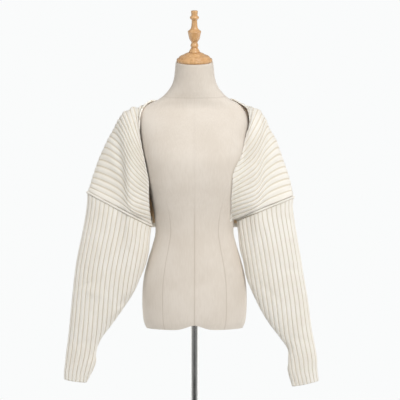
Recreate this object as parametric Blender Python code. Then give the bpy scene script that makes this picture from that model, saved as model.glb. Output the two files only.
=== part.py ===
"""An open ribbed cardigan on a limbless dress form, at real size, in metres with +Z up.

The front faces -Y. The origin is the middle of the base plate's underside. Left and right are the
wearer's, so the right sleeve lies at -X.

The cardigan is three knitted pieces. The body panel is one rectangle in chunky rib: its ribs start at
the front edge, run up over the shoulder and down the back to the hem, and its two ends close into the
armholes. A tapered tube of rib hangs from each armhole, with the cuff knitted on. Each armhole seam
stands up as a linked roll. All cloth is a thin wall: plain inside, ribs raised outside.

Tables are in millimetres and degrees. Sizes of cloth are those of its outer face.
"""

import math
from collections import namedtuple

import bmesh
import bpy
import numpy as np
from mathutils import Matrix, Vector
from mathutils.bvhtree import BVHTree

# ------------------------------------------------------------------ driving dimensions (metres)
MM = 0.001
GAP = 0.3 * MM  # clearance between neighbouring pieces
WALL = 1.8 * MM  # knitted cloth in the valley between two ribs
RIB_HEIGHT = 1.8 * MM  # crest of a rib above the valley
CLOTH = WALL + RIB_HEIGHT
SLEEVE_RIB_PITCH = 14 * MM
SEAM_RADIUS = 4 * MM  # linked roll round each armhole
SEAM_SINK = 1.2 * MM  # its middle lies this far below the ribs' crests
SEAM_CLEARANCE = 0.42 * MM  # from the roll to any point of the panel
PANEL_END = 0.6 * MM  # from the roll to the panel's end, before it is pushed clear

PANEL_ROWS = 16  # facets along one rib of the body panel
SLEEVE_ROWS = 14
SEAM_STEPS = 40
SEAM_SIDES = 6
FORM_SIDES = 32
TURNED_SIDES = 28
FINIAL_SIDES = 18
BASE_SIDES = 48
LINE_SAMPLES = 240  # points that a rib's length is measured on
SEAM_SAMPLES = 320
HARD_SHARP = 40  # degrees: wood
FORM_SHARP = 50
KNIT_SHARP = 80

POLE_RADIUS = 12.5 * MM
POLE_SOCKET_DEPTH = 60 * MM
BASE_RADIUS = 175 * MM
BASE_THICKNESS = 12 * MM
BASE_EDGE = 2 * MM
BASE_RECESS = 8 * MM

NECK_TILT = math.radians(15.5)  # the neck's cut and its cap lean forward
NECK_CAP_CENTRE = Vector((0, -22 * MM, 1494 * MM))  # middle of the cap's widest line
CAP_EDGE = 6 * MM  # underside of the cap below its widest line

ARCH_HEIGHT = 14 * MM  # the form's lower edge rises in the middle
ARCH_WIDTH = 32 * MM
ARCH_FADE = 60 * MM
SOCKET_RIM = 0.45  # the underside slopes in from the edge, at this share of its width

# ------------------------------------------------------------------ dress form
# A section is an ellipse where its fullness is 2, and squarer above that.
FormRing = namedtuple("FormRing", "height middle_y half_width front back lean fullness")
FORM_RINGS = [
    FormRing(680, 4, 147, 96, 102, 0, 2),
    FormRing(690, 4, 152, 99, 106, 0, 2),
    FormRing(712, 4, 157, 102, 111, 0, 2),
    FormRing(760, 4, 159.5, 104, 114, 0, 2),
    FormRing(800, 4, 158.5, 102, 112, 0, 2),
    FormRing(840, 3, 153.5, 98, 105, 0, 2),
    FormRing(886, 1, 142, 93, 95, 0, 2),
    FormRing(930, 0, 128.5, 88, 86, 0, 2),
    FormRing(974, -1, 119, 86, 83, 0, 2),
    FormRing(1020, -2, 122, 90, 86, 0, 2.1),
    FormRing(1070, -3, 133, 99, 92, 0, 2.3),
    FormRing(1125, -4, 146, 110, 98, 0, 2.5),
    FormRing(1175, -4, 153, 115, 103, 0, 2.5),
    FormRing(1225, -1, 163, 107, 105, 0, 2.5),
    FormRing(1265, 3, 170, 93, 102, 0, 2.5),
    FormRing(1298, 7, 176, 79, 91, 0, 2.5),
    FormRing(1320, 10, 180, 66, 78, 0, 2.4),
    FormRing(1336, 10, 179, 56, 66, 0, 2.2),
    FormRing(1348, 10, 168, 51, 58, 0, 2),
    FormRing(1357, 10, 151, 51, 54, 0, 2),
    FormRing(1365, 9, 134, 52, 53, 0, 2),
    FormRing(1373, 8, 116, 53, 53, 1, 2),
    FormRing(1385, 5, 98, 54, 53, 3, 2),
    FormRing(1402, 1, 81, 56, 55, 5, 2),
    FormRing(1420, -4, 69, 56, 56, 7, 2),
    FormRing(1440, -9, 62.5, 56, 56, 10, 2),
    FormRing(1462, -14, 59.5, 56, 56, 13, 2),
]
NECK_TOP_RADIUS = 57 * MM

# ------------------------------------------------------------------ turned wood, from bottom to top
Turned = namedtuple("Turned", "height radius")
CAP_PROFILE = [
    Turned(-6, 51),
    Turned(-4.5, 53.6),
    Turned(0, 54.4),
    Turned(3.5, 53),
    Turned(9, 47),
    Turned(15, 37.5),
    Turned(20, 26),
    Turned(23, 17),
]
FINIAL_PROFILE = [
    Turned(23.3, 16.6),
    Turned(26, 16.2),
    Turned(33, 12.2),
    Turned(36.5, 10.3),
    Turned(40, 11),
    Turned(43.5, 12),
    Turned(47, 11),
    Turned(51, 9.8),
    Turned(55, 10),
    Turned(61, 14.4),
    Turned(75, 18),
    Turned(86, 20.2),
    Turned(90, 16.6),
    Turned(95, 11.4),
    Turned(102, 9.4),
    Turned(117, 8.3),
    Turned(122, 9),
    Turned(125.5, 12.6),
    Turned(128, 13.6),
    Turned(130.5, 12.6),
    Turned(134, 9.6),
    Turned(141, 9.8),
    Turned(146, 10.2),
    Turned(149, 8.6),
]

# ------------------------------------------------------------------ body panel
# A row is one rib, counted from the one that ends where neck and front edge meet. Each rib is met at
# the front edge, inside and outside the soft fold down the front, and where it crosses the outline.
FrontRib = namedtuple("FrontRib", "rib edge inner outer top")
RIGHT_FRONT = [
    FrontRib(1, (161, 1352), (158, 1359), (154, 1367), (149.5, 1374)),
    FrontRib(2, (167, 1313), (168, 1332), (165, 1351), (161.5, 1369)),
    FrontRib(4, (162, 1251), (169, 1287), (177, 1323), (188, 1358)),
    FrontRib(6, (152.5, 1202), (175.5, 1253), (196, 1304), (213.5, 1344)),
    FrontRib(8, (145, 1168), (185.5, 1234), (210.5, 1286), (232, 1320)),
    FrontRib(12, (136, 1115), (193, 1177), (224, 1231), (261, 1264)),
    FrontRib(16, (136.5, 1072), (193, 1106), (224, 1158), (294.5, 1192)),
    FrontRib(20, (132.5, 1020), (192.5, 1045), (224, 1078), (318.5, 1122)),
]
LEFT_FRONT = [
    FrontRib(1, (146, 1364), (141.5, 1368), (136.5, 1371.5), (131.5, 1374.5)),
    FrontRib(2, (163.5, 1344), (158, 1354), (150.5, 1363), (143.5, 1371)),
    FrontRib(4, (165.5, 1302), (170.5, 1320), (173.5, 1341), (169.5, 1362)),
    FrontRib(6, (154, 1258), (167, 1285), (181, 1316), (197, 1349)),
    FrontRib(8, (143.5, 1206), (172.5, 1243), (199, 1287), (216, 1323)),
    FrontRib(12, (118.5, 1130), (184.5, 1185), (214, 1234), (244, 1265)),
    FrontRib(16, (114.5, 1082), (188.5, 1118), (218, 1159), (272.5, 1189)),
    FrontRib(20, (117, 1037), (187, 1060), (222.5, 1090), (296, 1116)),
]
# The same points' depths, for both sides, and the rib's way down the back.
RibDepth = namedtuple("RibDepth", "rib edge inner outer top")
RIB_DEPTHS = [
    RibDepth(1, -18, -10, -1, 8),
    RibDepth(2, -40, -30, -12, 8),
    RibDepth(4, -47, -46, -32, 6),
    RibDepth(6, -56, -58, -43, 3),
    RibDepth(8, -64, -67, -48, 0),
    RibDepth(12, -66, -75, -53, -4),
    RibDepth(16, -56, -79, -58, -6),
    RibDepth(20, -36, -78, -61, -8),
]
BackRib = namedtuple("BackRib", "rib shoulder upper lower hem follows_underarm")
BACK_RIBS = [
    BackRib(-9, (0, 97, 1318), (0, 110, 1252), (0, 119, 1110), (0, 118, 983), 0),
    BackRib(-6, (45, 94, 1320), (38, 109, 1252), (31, 119, 1110), (27, 118, 983), 0),
    BackRib(-3, (88, 81, 1328), (80, 99, 1258), (62, 118, 1110), (53, 119, 983), 0),
    BackRib(0, (131, 58, 1337), (122, 84, 1266), (94, 116, 1110), (79, 119, 983), 0),
    BackRib(1, (145, 53, 1339), (135, 80, 1267), (103, 115, 1110), (88, 119, 983), 0),
    BackRib(2, (158, 48, 1340), (148, 76, 1268), (112, 114, 1110), (96, 119, 983), 0),
    BackRib(4, None, (171, 68, 1265), (131, 112, 1108), (113, 118, 983), 0),
    BackRib(6, None, (191, 66, 1248), (149, 112, 1100), (130, 116, 983), 0),
    BackRib(8, None, (206, 66, 1226), (167, 112, 1090), (147, 113, 983), 0),
    BackRib(12, None, (236, 63, 1170), (196, 105, 1066), (168, 98, 988), 0),
    BackRib(16, None, (256, 60, 1118), (205, 90, 1050), (141, 66, 1004), 0.5),
    BackRib(20, None, (262, 49, 1082), (190, 60, 1040), (129, 18, 1016), 1),
]
# Where the cloth lies on the neck and the shoulder: points of the neck edge behind the neck.
NeckEdge = namedtuple("NeckEdge", "rib x y z")
NECK_EDGE = [
    NeckEdge(-9, 0, 73, 1362),
    NeckEdge(-6, 50, 67, 1364),
    NeckEdge(-3, 97, 45, 1371),
    NeckEdge(0, 136, 8, 1379),
]
LEFT_SHOULDER_SCALE = 0.88  # the left front starts nearer the neck than the right one
RIBS_BEHIND_NECK = 9
RIBS_TO_SEAM = 22
HALF_RIBS = RIBS_BEHIND_NECK + RIBS_TO_SEAM
SHOULDER_RIBS = (-1, 8)  # ribs that turn sharply over the shoulder

# Cloth that lies on the form instead of hanging clear of it.
HUG_HEIGHT = (1215 * MM, 1275 * MM)
HUG_HALF_WIDTH = (160 * MM, 186 * MM)
HUG_FRONT = (-30 * MM, -8 * MM)
HUG_REACH = (10 * MM, 24 * MM)
WEARER_MIDDLE = np.array([0, 20, 1150]) * MM
SEATING_CLEARANCE = 0.6 * MM
SEATING_STEP = 1.1  # each pass lifts a little more than is missing
SEATING_PASSES = 16
SEATING_SAMPLES = 6  # along each side of a facet

# ------------------------------------------------------------------ sleeves
# A section goes from the outer fold to the underarm line; depth is its full size from front to back.
SleeveRing = namedtuple("SleeveRing", "fold underarm middle_y depth ridge")
RIGHT_SLEEVE = [
    SleeveRing((325.5, 1093), (129.5, 990), -12, 90, 18),
    SleeveRing((326.5, 1062), (133.5, 959), -16, 90, 14),
    SleeveRing((333.5, 1008), (137, 917), -21, 88, 6),
    SleeveRing((345, 948), (146, 875), -27, 85, 0),
    SleeveRing((357, 887), (159, 842), -31, 80, 0),
    SleeveRing((365, 827), (183, 788), -35, 74, 0),
    SleeveRing((371, 767), (213, 742), -38, 67, 0),
    SleeveRing((376, 710), (250, 690), -41, 60, 0),
    SleeveRing((381, 660), (282, 646), -43, 54, 0),
    SleeveRing((386.5, 616), (294.5, 610), -45, 50, 0),
    SleeveRing((390.5, 580), (296, 577), -46, 49, 0),
    SleeveRing((393.5, 550), (310, 544), -47, 46, 0),
    SleeveRing((393.5, 529), (324, 519), -48, 44, 0),
]
LEFT_SLEEVE = [
    SleeveRing((301.5, 1078), (127, 1010), -14, 90, 16),
    SleeveRing((299.5, 1048), (131.5, 971), -17, 90, 12),
    SleeveRing((305, 1002), (136.5, 923), -21, 88, 5),
    SleeveRing((314.5, 942), (148, 878), -27, 85, 0),
    SleeveRing((325, 881), (157.5, 830), -31, 80, 0),
    SleeveRing((333.5, 827), (177, 782), -35, 74, 0),
    SleeveRing((342.5, 773), (201, 733), -38, 67, 0),
    SleeveRing((349, 722), (228, 690), -41, 60, 0),
    SleeveRing((355.5, 674), (259, 650), -43, 54, 0),
    SleeveRing((365, 626), (280.5, 616), -45, 50, 0),
    SleeveRing((370, 592), (281.5, 589), -46, 49, 0),
    SleeveRing((371, 560), (280, 555), -47, 46, 0),
    SleeveRing((375.5, 525), (293, 507), -48, 44, 0),
]
RIDGE_AT = 0.66  # of the way from the outer fold to the underarm: the front fold goes on below the seam
RIDGE_WIDTH = 0.11
RING_SAMPLES = 96  # points that a section's length is measured on
UNDERARM_NOTCH = 3 * MM  # half the space between the panel's two corners at the underarm
SEAM_ALLOWANCE = 4.95 * MM  # from the seam's middle to the sleeve's first row
LAST_RIB_ROOM = 0.4  # of half a rib: the least space between the last column and the underarm line

Material = namedtuple("Material", "name colour metallic roughness")
KNIT = Material("ivory_rib_knit", (0.81, 0.77, 0.69), 0.0, 0.9)
SEAM_KNIT = Material("ivory_linking", (0.78, 0.73, 0.65), 0.0, 0.9)
LINEN = Material("cream_linen", (0.72, 0.65, 0.56), 0.0, 0.8)
WOOD = Material("turned_wood", (0.60, 0.36, 0.17), 0.0, 0.45)
STEEL = Material("pole_steel", (0.62, 0.62, 0.61), 1.0, 0.28)
BASE_STEEL = Material("base_steel", (0.55, 0.55, 0.54), 1.0, 0.35)


# ------------------------------------------------------------------ tools
def clear_scene():
    for old in list(bpy.data.objects):
        bpy.data.objects.remove(old, do_unlink=True)


def principled(spec):
    """The material of a spec, made once."""
    material = bpy.data.materials.get(spec.name)
    if material is None:
        material = bpy.data.materials.new(spec.name)
        material.use_nodes = True
        shader = material.node_tree.nodes["Principled BSDF"]
        shader.inputs["Base Color"].default_value = (*spec.colour, 1.0)
        shader.inputs["Metallic"].default_value = spec.metallic
        shader.inputs["Roughness"].default_value = spec.roughness
    return material


def add_object(name, points, faces, spec, sharp_angle):
    """A closed body from points and faces, its faces turned outwards and its curves smooth."""
    mesh = bpy.data.meshes.new(name)
    mesh.from_pydata([tuple(map(float, point)) for point in points], [], faces)
    body = bmesh.new()
    body.from_mesh(mesh)
    bmesh.ops.recalc_face_normals(body, faces=body.faces)
    body.to_mesh(mesh)
    body.free()
    mesh.materials.append(principled(spec))
    mesh.shade_smooth()
    mesh.set_sharp_from_angle(angle=math.radians(sharp_angle))
    thing = bpy.data.objects.new(name, mesh)
    bpy.context.scene.collection.objects.link(thing)
    return thing


def spline(knots, values, positions, overshoot=True):
    """Smooth curve through values at knots, read at positions (cubic, three-point slopes).

    Without overshoot, no coordinate swings past the values on either side of it.
    """
    knots = np.asarray(knots, dtype=float)
    values = np.asarray(values, dtype=float)
    positions = np.atleast_1d(np.asarray(positions, dtype=float))
    steps = np.diff(knots)
    flat = (slice(None),) + (None,) * (values.ndim - 1)
    rises = np.diff(values, axis=0) / steps[flat]
    slopes = np.empty_like(values)
    slopes[0] = rises[0]
    slopes[-1] = rises[-1]
    before = (steps[1:] / (steps[1:] + steps[:-1]))[flat]
    slopes[1:-1] = before * rises[:-1] + (1 - before) * rises[1:]
    if not overshoot:
        limit = 2 * np.minimum(np.abs(rises[:-1]), np.abs(rises[1:]))
        limit = np.where(rises[:-1] * rises[1:] > 0, limit, 0)
        slopes[1:-1] = np.clip(slopes[1:-1], -limit, limit)
    low = np.clip(np.searchsorted(knots, positions, side="right") - 1, 0, len(steps) - 1)
    width = steps[low][flat]
    t = ((positions - knots[low]) / steps[low])[flat]
    near = (1 + 2 * t) * (1 - t) ** 2 * values[low] + t * (1 - t) ** 2 * width * slopes[low]
    far = t**2 * (3 - 2 * t) * values[low + 1] - t**2 * (1 - t) * width * slopes[low + 1]
    return near + far


def lengths_along(points):
    """Distance of each point from the first one, along the line through them."""
    steps = np.linalg.norm(np.diff(points, axis=0), axis=1)
    return np.concatenate([[0.0], np.cumsum(steps)])


def even_points(controls, count):
    """count + 1 points at even distances on the smooth line through a few control points."""
    controls = np.asarray(controls, dtype=float)
    knots = lengths_along(controls)
    fine = spline(knots, controls, np.linspace(0, knots[-1], LINE_SAMPLES))
    travelled = lengths_along(fine)
    wanted = np.linspace(0, travelled[-1], count + 1)
    return np.stack([np.interp(wanted, travelled, fine[:, axis]) for axis in range(3)], axis=1)


def unit(vectors):
    return vectors / np.maximum(np.linalg.norm(vectors, axis=-1, keepdims=True), 1e-12)


def smooth_step(low, high, value):
    t = min(max((value - low) / (high - low), 0.0), 1.0)
    return t * t * (3 - 2 * t)


def loft(rings):
    """Points and faces of a body through rings of equal count, closed by a face at each end."""
    count = len(rings[0])
    points = [point for ring in rings for point in ring]
    faces = [tuple(range(count)), tuple(range(len(points) - count, len(points)))]
    for level in range(len(rings) - 1):
        for side in range(count):
            following = (side + 1) % count
            here = level * count
            above = here + count
            faces.append((here + side, here + following, above + following, above + side))
    return points, faces


def circle(radius, height, sides):
    angles = [2 * math.pi * side / sides for side in range(sides)]
    return [(radius * math.cos(angle), radius * math.sin(angle), height) for angle in angles]


# ------------------------------------------------------------------ stand
def arch_lift(x, height):
    """How far the form's lower edge is raised at x, fading out above it."""
    fade = max(0.0, 1 - (height - FORM_RINGS[0].height * MM) / ARCH_FADE)
    return ARCH_HEIGHT * fade * math.exp(-((x / ARCH_WIDTH) ** 2))


def squared(value, fullness):
    """Sine or cosine, drawn out towards the corners of a fuller section."""
    return math.copysign(abs(value) ** (2 / fullness), value)


def form_section(ring, shrink=1.0):
    """One section of the dress form, leaning forward by the ring's lean."""
    points = []
    for side in range(FORM_SIDES):
        angle = 2 * math.pi * side / FORM_SIDES
        depth = ring.back if math.sin(angle) > 0 else ring.front
        x = ring.half_width * MM * shrink * squared(math.cos(angle), ring.fullness)
        along_y = depth * MM * shrink * squared(math.sin(angle), ring.fullness)
        z = ring.height * MM + along_y * math.tan(math.radians(ring.lean))
        points.append((x, ring.middle_y * MM + along_y, z + arch_lift(x, ring.height * MM)))
    return points


def neck_top_section():
    """The tilted cut that the wooden cap stands on."""
    lean = Matrix.Rotation(NECK_TILT, 4, "X")
    middle = NECK_CAP_CENTRE + lean @ Vector((0, 0, -CAP_EDGE - GAP))
    ring = circle(NECK_TOP_RADIUS, 0, FORM_SIDES)
    return [middle + lean @ Vector(point) for point in ring]


def build_form_torso():
    """Torso and neck in one padded body, with a socket for the pole in its underside."""
    socket_radius = (POLE_RADIUS + GAP) / math.cos(math.pi / FORM_SIDES)
    mouth = FORM_RINGS[0].height * MM + ARCH_HEIGHT
    rings = [circle(socket_radius, mouth + POLE_SOCKET_DEPTH, FORM_SIDES)]
    rings.append(circle(socket_radius, mouth, FORM_SIDES))
    rings.append(form_section(FORM_RINGS[0], shrink=SOCKET_RIM))
    rings += [form_section(ring) for ring in FORM_RINGS]
    rings.append(neck_top_section())
    points, faces = loft(rings)
    return add_object("form_torso", points, faces, LINEN, FORM_SHARP)


def build_turned(name, profile, sides):
    """A turned piece on the neck cap's leaning axis."""
    rings = [circle(row.radius * MM, row.height * MM, sides) for row in profile]
    points, faces = loft(rings)
    piece = add_object(name, points, faces, WOOD, HARD_SHARP)
    piece.location = NECK_CAP_CENTRE
    piece.rotation_euler = (NECK_TILT, 0, 0)
    return piece


def build_pole():
    foot = BASE_THICKNESS - BASE_RECESS + GAP
    top = FORM_RINGS[0].height * MM + ARCH_HEIGHT + POLE_SOCKET_DEPTH - GAP
    rings = [circle(POLE_RADIUS, 0, TURNED_SIDES), circle(POLE_RADIUS, top - foot, TURNED_SIDES)]
    points, faces = loft(rings)
    pole = add_object("pole", points, faces, STEEL, HARD_SHARP)
    pole.location = (0, 0, foot)
    return pole


def build_base_plate():
    """A round steel plate with a shallow recess that the pole stands in."""
    sides = BASE_SIDES
    recess_radius = (POLE_RADIUS + GAP) / math.cos(math.pi / sides)
    profile = [
        (BASE_RADIUS - BASE_EDGE, 0),
        (BASE_RADIUS, BASE_EDGE),
        (BASE_RADIUS, BASE_THICKNESS - BASE_EDGE),
        (BASE_RADIUS - BASE_EDGE, BASE_THICKNESS),
        (recess_radius, BASE_THICKNESS),
        (recess_radius, BASE_THICKNESS - BASE_RECESS),
    ]
    points, faces = loft([circle(radius, height, sides) for radius, height in profile])
    return add_object("base_plate", points, faces, BASE_STEEL, HARD_SHARP)


# ------------------------------------------------------------------ sections of the sleeves
def section_loop(row, side):
    """A sleeve's section as a loop: outer fold, front, underarm line, back. side is -1 at -X."""
    fold = np.array([side * row[0], row[4], row[1]])
    underarm = np.array([side * row[2], row[4], row[3]])
    middle = (fold + underarm) / 2
    half = (fold - underarm) / 2
    turn = np.linspace(0, 2 * math.pi, RING_SAMPLES + 1)
    loop = middle + np.outer(np.cos(turn), half)
    loop[:, 1] -= row[5] / 2 * np.sin(turn)
    share = (1 - np.cos(turn)) / 2
    ridge = np.exp(-(((share - RIDGE_AT) / RIDGE_WIDTH) ** 2))
    loop[:, 1] -= np.where(turn < math.pi, row[6] * ridge, 0)
    return loop


def loop_normals(loop):
    """Directions that point out of a section, in its own plane."""
    along = np.gradient(loop, axis=0)
    along[0] = along[-1] = loop[1] - loop[-2]
    plane = np.cross(loop[0] - loop[len(loop) // 2], (0, 1, 0))
    normals = unit(np.cross(along, plane))
    return normals if normals[0].dot(loop[0] - loop.mean(axis=0)) > 0 else -normals


def sleeve_numbers(table):
    """The table's columns in metres: fold x and z, underarm x and z, middle, depth, ridge."""
    rows = [(*row.fold, *row.underarm, row.middle_y, row.depth, row.ridge) for row in table]
    return np.array(rows) * MM


def sleeve_stations(table):
    """Distance of each section down the sleeve, along its middle line."""
    numbers = sleeve_numbers(table)
    middles = (numbers[:, 0:2] + numbers[:, 2:4]) / 2
    return lengths_along(middles)


def armhole_loop(table, side):
    return section_loop(sleeve_numbers(table)[0], side)


# ------------------------------------------------------------------ armhole seams
def seam_path(table, side):
    """Middle line of the linked roll, in even steps round the armhole, and its outward directions."""
    loop = armhole_loop(table, side)
    travelled = lengths_along(loop)
    wanted = np.linspace(0, travelled[-1], SEAM_STEPS, endpoint=False)
    path = np.stack([np.interp(wanted, travelled, loop[:, axis]) for axis in range(3)], axis=1)
    along = unit(np.roll(path, -1, axis=0) - np.roll(path, 1, axis=0))
    outward = path - path.mean(axis=0)
    outward = unit(outward - along * (outward * along).sum(axis=1, keepdims=True))
    return path - outward * SEAM_SINK, along, outward


def build_armhole_seam(name, table, side):
    path, along, outward = seam_path(table, side)
    across = np.cross(along, outward)
    points = []
    for corner in range(SEAM_SIDES):
        angle = 2 * math.pi * corner / SEAM_SIDES
        points.append(path + SEAM_RADIUS * (math.cos(angle) * outward + math.sin(angle) * across))
    points = np.stack(points, axis=1).reshape(-1, 3)
    faces = []
    for step in range(SEAM_STEPS):
        here = step * SEAM_SIDES
        there = (step + 1) % SEAM_STEPS * SEAM_SIDES
        for corner in range(SEAM_SIDES):
            following = (corner + 1) % SEAM_SIDES
            faces.append((here + corner, here + following, there + following, there + corner))
    return add_object(name, points, faces, SEAM_KNIT, KNIT_SHARP)


# ------------------------------------------------------------------ sleeves
class SleeveHalf:
    """Front or back half of one section: half-rib columns from the outer fold to the underarm line."""

    def __init__(self, line, normals, pitch):
        self.line = line
        self.normals = normals
        self.travelled = lengths_along(line)
        self.step = pitch / 2
        self.columns = int((self.travelled[-1] - LAST_RIB_ROOM * self.step) / self.step)

    def at(self, column):
        """Point and outward direction at a column; past the last one, those of the underarm line."""
        distance = self.travelled[-1] if column > self.columns else column * self.step
        point = [np.interp(distance, self.travelled, self.line[:, axis]) for axis in range(3)]
        normal = [np.interp(distance, self.travelled, self.normals[:, axis]) for axis in range(3)]
        return np.array(point), unit(np.array(normal))


def sleeve_halves(table, side):
    """Both halves of every section, from the armhole to the cuff."""
    numbers = sleeve_numbers(table)
    stations = sleeve_stations(table)
    reach = np.linspace(SEAM_ALLOWANCE, stations[-1], SLEEVE_ROWS + 1)
    sections = spline(stations, numbers, reach)
    folds = sections[:, 0:2]
    fold_run = unit(np.gradient(folds, axis=0))
    across = unit(sections[:, 2:4] - folds)
    slants = np.abs(fold_run[:, 0] * across[:, 1] - fold_run[:, 1] * across[:, 0])
    middle = RING_SAMPLES // 2
    halves = []
    for section, slant in zip(sections, slants):
        loop = section_loop(section, side)
        normals = loop_normals(loop)
        pitch = SLEEVE_RIB_PITCH / slant
        front = SleeveHalf(loop[: middle + 1], normals[: middle + 1], pitch)
        back = SleeveHalf(loop[middle:][::-1], normals[middle:][::-1], pitch)
        halves.append((front, back))
    return halves


class RibTube:
    """Points and faces of a sleeve. Columns past the underarm line share that line's points."""

    def __init__(self, halves):
        widest = max(half.columns for pair in halves for half in pair) + 2
        self.underarm = widest + widest % 2
        self.halves = halves
        self.columns = [(0, column) for column in range(self.underarm + 1)]
        self.columns += [(1, column) for column in range(self.underarm - 1, 0, -1)]
        self.points = []
        self.faces = []
        self.index = {}

    def corner(self, layer, row, place):
        """Index of a point, which is made the first time that it is asked for."""
        place %= len(self.columns)
        half_number, column = self.columns[place]
        half = self.halves[row][half_number]
        if column > half.columns:
            place = self.underarm
        key = (layer, row, place)
        if key not in self.index:
            point, outward = half.at(column)
            on_crest = column % 2 == 1 and place != self.underarm
            depth = CLOTH if layer == "inner" else 0 if on_crest else RIB_HEIGHT
            self.index[key] = len(self.points)
            self.points.append(point - outward * depth)
        return self.index[key]

    def add_face(self, corners):
        """A face without the corners that fall together at the underarm line."""
        kept = [index for spot, index in enumerate(corners) if index != corners[spot - 1]]
        if len(set(kept)) > 2:
            self.faces.append(tuple(kept))

    def add_wall(self, layer, stride):
        for row in range(len(self.halves) - 1):
            for place in range(0, len(self.columns), stride):
                upper = [self.corner(layer, row, place), self.corner(layer, row, place + stride)]
                lower = [self.corner(layer, row + 1, place + stride), self.corner(layer, row + 1, place)]
                self.add_face(upper + lower)

    def add_rim(self, row):
        for place in range(0, len(self.columns), 2):
            outside = [self.corner("outer", row, place + step) for step in range(3)]
            self.add_face(
                [self.corner("inner", row, place)] + outside + [self.corner("inner", row, place + 2)]
            )


def build_sleeve(name, table, side):
    """A tube with ribs outside, cut off where they run into the underarm line, and a plain inside."""
    tube = RibTube(sleeve_halves(table, side))
    tube.add_wall("outer", 1)
    tube.add_wall("inner", 2)
    tube.add_rim(0)
    tube.add_rim(SLEEVE_ROWS)
    return add_object(name, tube.points, tube.faces, KNIT, KNIT_SHARP)


# ------------------------------------------------------------------ body panel
def mirrored(point, side):
    return np.array([side * point[0], point[1], point[2]]) * MM


def back_controls(row, side, sleeve_table):
    """A rib's points down the back, from the shoulder to the hem."""
    underarm = np.array(sleeve_table[0].underarm) - np.array(RIGHT_SLEEVE[0].underarm)
    follow = np.array([side * underarm[0], 0, underarm[1]]) * MM * row.follows_underarm
    controls = []
    if row.shoulder:
        narrow = LEFT_SHOULDER_SCALE if side > 0 else 1
        x, y, z = row.shoulder
        controls.append(mirrored((x * narrow, y, z), side))
    controls.append(mirrored(row.upper, side))
    controls.append(mirrored(row.lower, side) + follow)
    controls.append(mirrored(row.hem, side) + follow)
    return controls


def neck_lines(side, sleeve_table):
    """Ribs that start at the neck edge behind the neck, in order from the centre back."""
    backs = {row.rib: row for row in BACK_RIBS}
    narrow = LEFT_SHOULDER_SCALE if side > 0 else 1
    lines = []
    for row in NECK_EDGE:
        start = mirrored((row.x * narrow, row.y, row.z), side)
        controls = [start] + back_controls(backs[row.rib], side, sleeve_table)
        lines.append((row.rib + RIBS_BEHIND_NECK, even_points(controls, PANEL_ROWS)))
    return lines


def front_lines(front_table, side, sleeve_table):
    """Ribs that start at the front edge and go over the shoulder."""
    backs = {row.rib: row for row in BACK_RIBS}
    depths = {row.rib: row for row in RIB_DEPTHS}
    lines = []
    for row in front_table:
        depth = depths[row.rib]
        spots = [
            (row.edge[0], depth.edge, row.edge[1]),
            (row.inner[0], depth.inner, row.inner[1]),
            (row.outer[0], depth.outer, row.outer[1]),
            (row.top[0], depth.top, row.top[1]),
        ]
        controls = [mirrored(spot, side) for spot in spots]
        controls += back_controls(backs[row.rib], side, sleeve_table)
        lines.append((row.rib + RIBS_BEHIND_NECK, even_points(controls, PANEL_ROWS)))
    return lines


def armhole_line(sleeve_table, side):
    """The panel's end, from its front corner at the underarm round the armhole to its back corner."""
    loop = armhole_loop(sleeve_table, side)
    half = RING_SAMPLES // 2
    from_underarm = np.concatenate([loop[half:0:-1], loop[0:1], loop[-2 : half - 1 : -1]])
    travelled = lengths_along(from_underarm)
    wanted = np.linspace(UNDERARM_NOTCH, travelled[-1] - UNDERARM_NOTCH, PANEL_ROWS + 1)
    axes = [np.interp(wanted, travelled, from_underarm[:, axis]) for axis in range(3)]
    return np.stack(axes, axis=1)


def panel_surface():
    """Outer face of the body panel: a grid with two columns for each rib and PANEL_ROWS + 1 rows."""
    lines = []
    for side, fronts, sleeves in ((-1, RIGHT_FRONT, RIGHT_SLEEVE), (1, LEFT_FRONT, LEFT_SLEEVE)):
        half = neck_lines(side, sleeves) + front_lines(fronts, side, sleeves)
        end = armhole_line(sleeves, side)
        towards = unit(end - half[-1][1])
        run = unit(np.gradient(end, axis=0))
        towards = unit(towards - run * (towards * run).sum(axis=1, keepdims=True))
        end = end - towards * (SEAM_RADIUS + PANEL_END)
        half.append((HALF_RIBS, end))
        if side < 0:
            lines = [(-position, line) for position, line in reversed(half)]
        else:
            lines += half[1:]
    knots = [position for position, _ in lines]
    columns = np.linspace(-HALF_RIBS, HALF_RIBS, 4 * HALF_RIBS + 1)
    return spline(knots, np.stack([line for _, line in lines]), columns, overshoot=False)


def outward_of(surface):
    """Unit normals of the panel, away from the wearer."""
    along = np.gradient(surface, axis=0)
    down = np.gradient(surface, axis=1)
    normals = unit(np.cross(along, down))
    from_wearer = surface - WEARER_MIDDLE
    if (normals * from_wearer).sum() < 0:
        normals = -normals
    return normals


def keep_off_seams(points):
    """Move points that come too near the armhole rolls straight away from them."""
    clearance = SEAM_RADIUS + SEAM_CLEARANCE
    for side, table in ((-1, RIGHT_SLEEVE), (1, LEFT_SLEEVE)):
        path, _, _ = seam_path(table, side)
        path = np.concatenate([path, path[:1]])
        fine = spline(np.arange(len(path)), path, np.linspace(0, len(path) - 1, SEAM_SAMPLES))
        for spot in np.ndindex(points.shape[:-1]):
            away = points[spot] - fine
            distances = np.linalg.norm(away, axis=1)
            nearest = distances.argmin()
            if distances[nearest] < clearance:
                points[spot] = fine[nearest] + away[nearest] / distances[nearest] * clearance
    return points


def rising_diagonals(grid):
    """For each cell of a grid, whether its shorter diagonal leaves its first corner."""
    rising = np.linalg.norm(grid[1:, 1:] - grid[:-1, :-1], axis=-1)
    falling = np.linalg.norm(grid[1:, :-1] - grid[:-1, 1:], axis=-1)
    return rising <= falling


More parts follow.
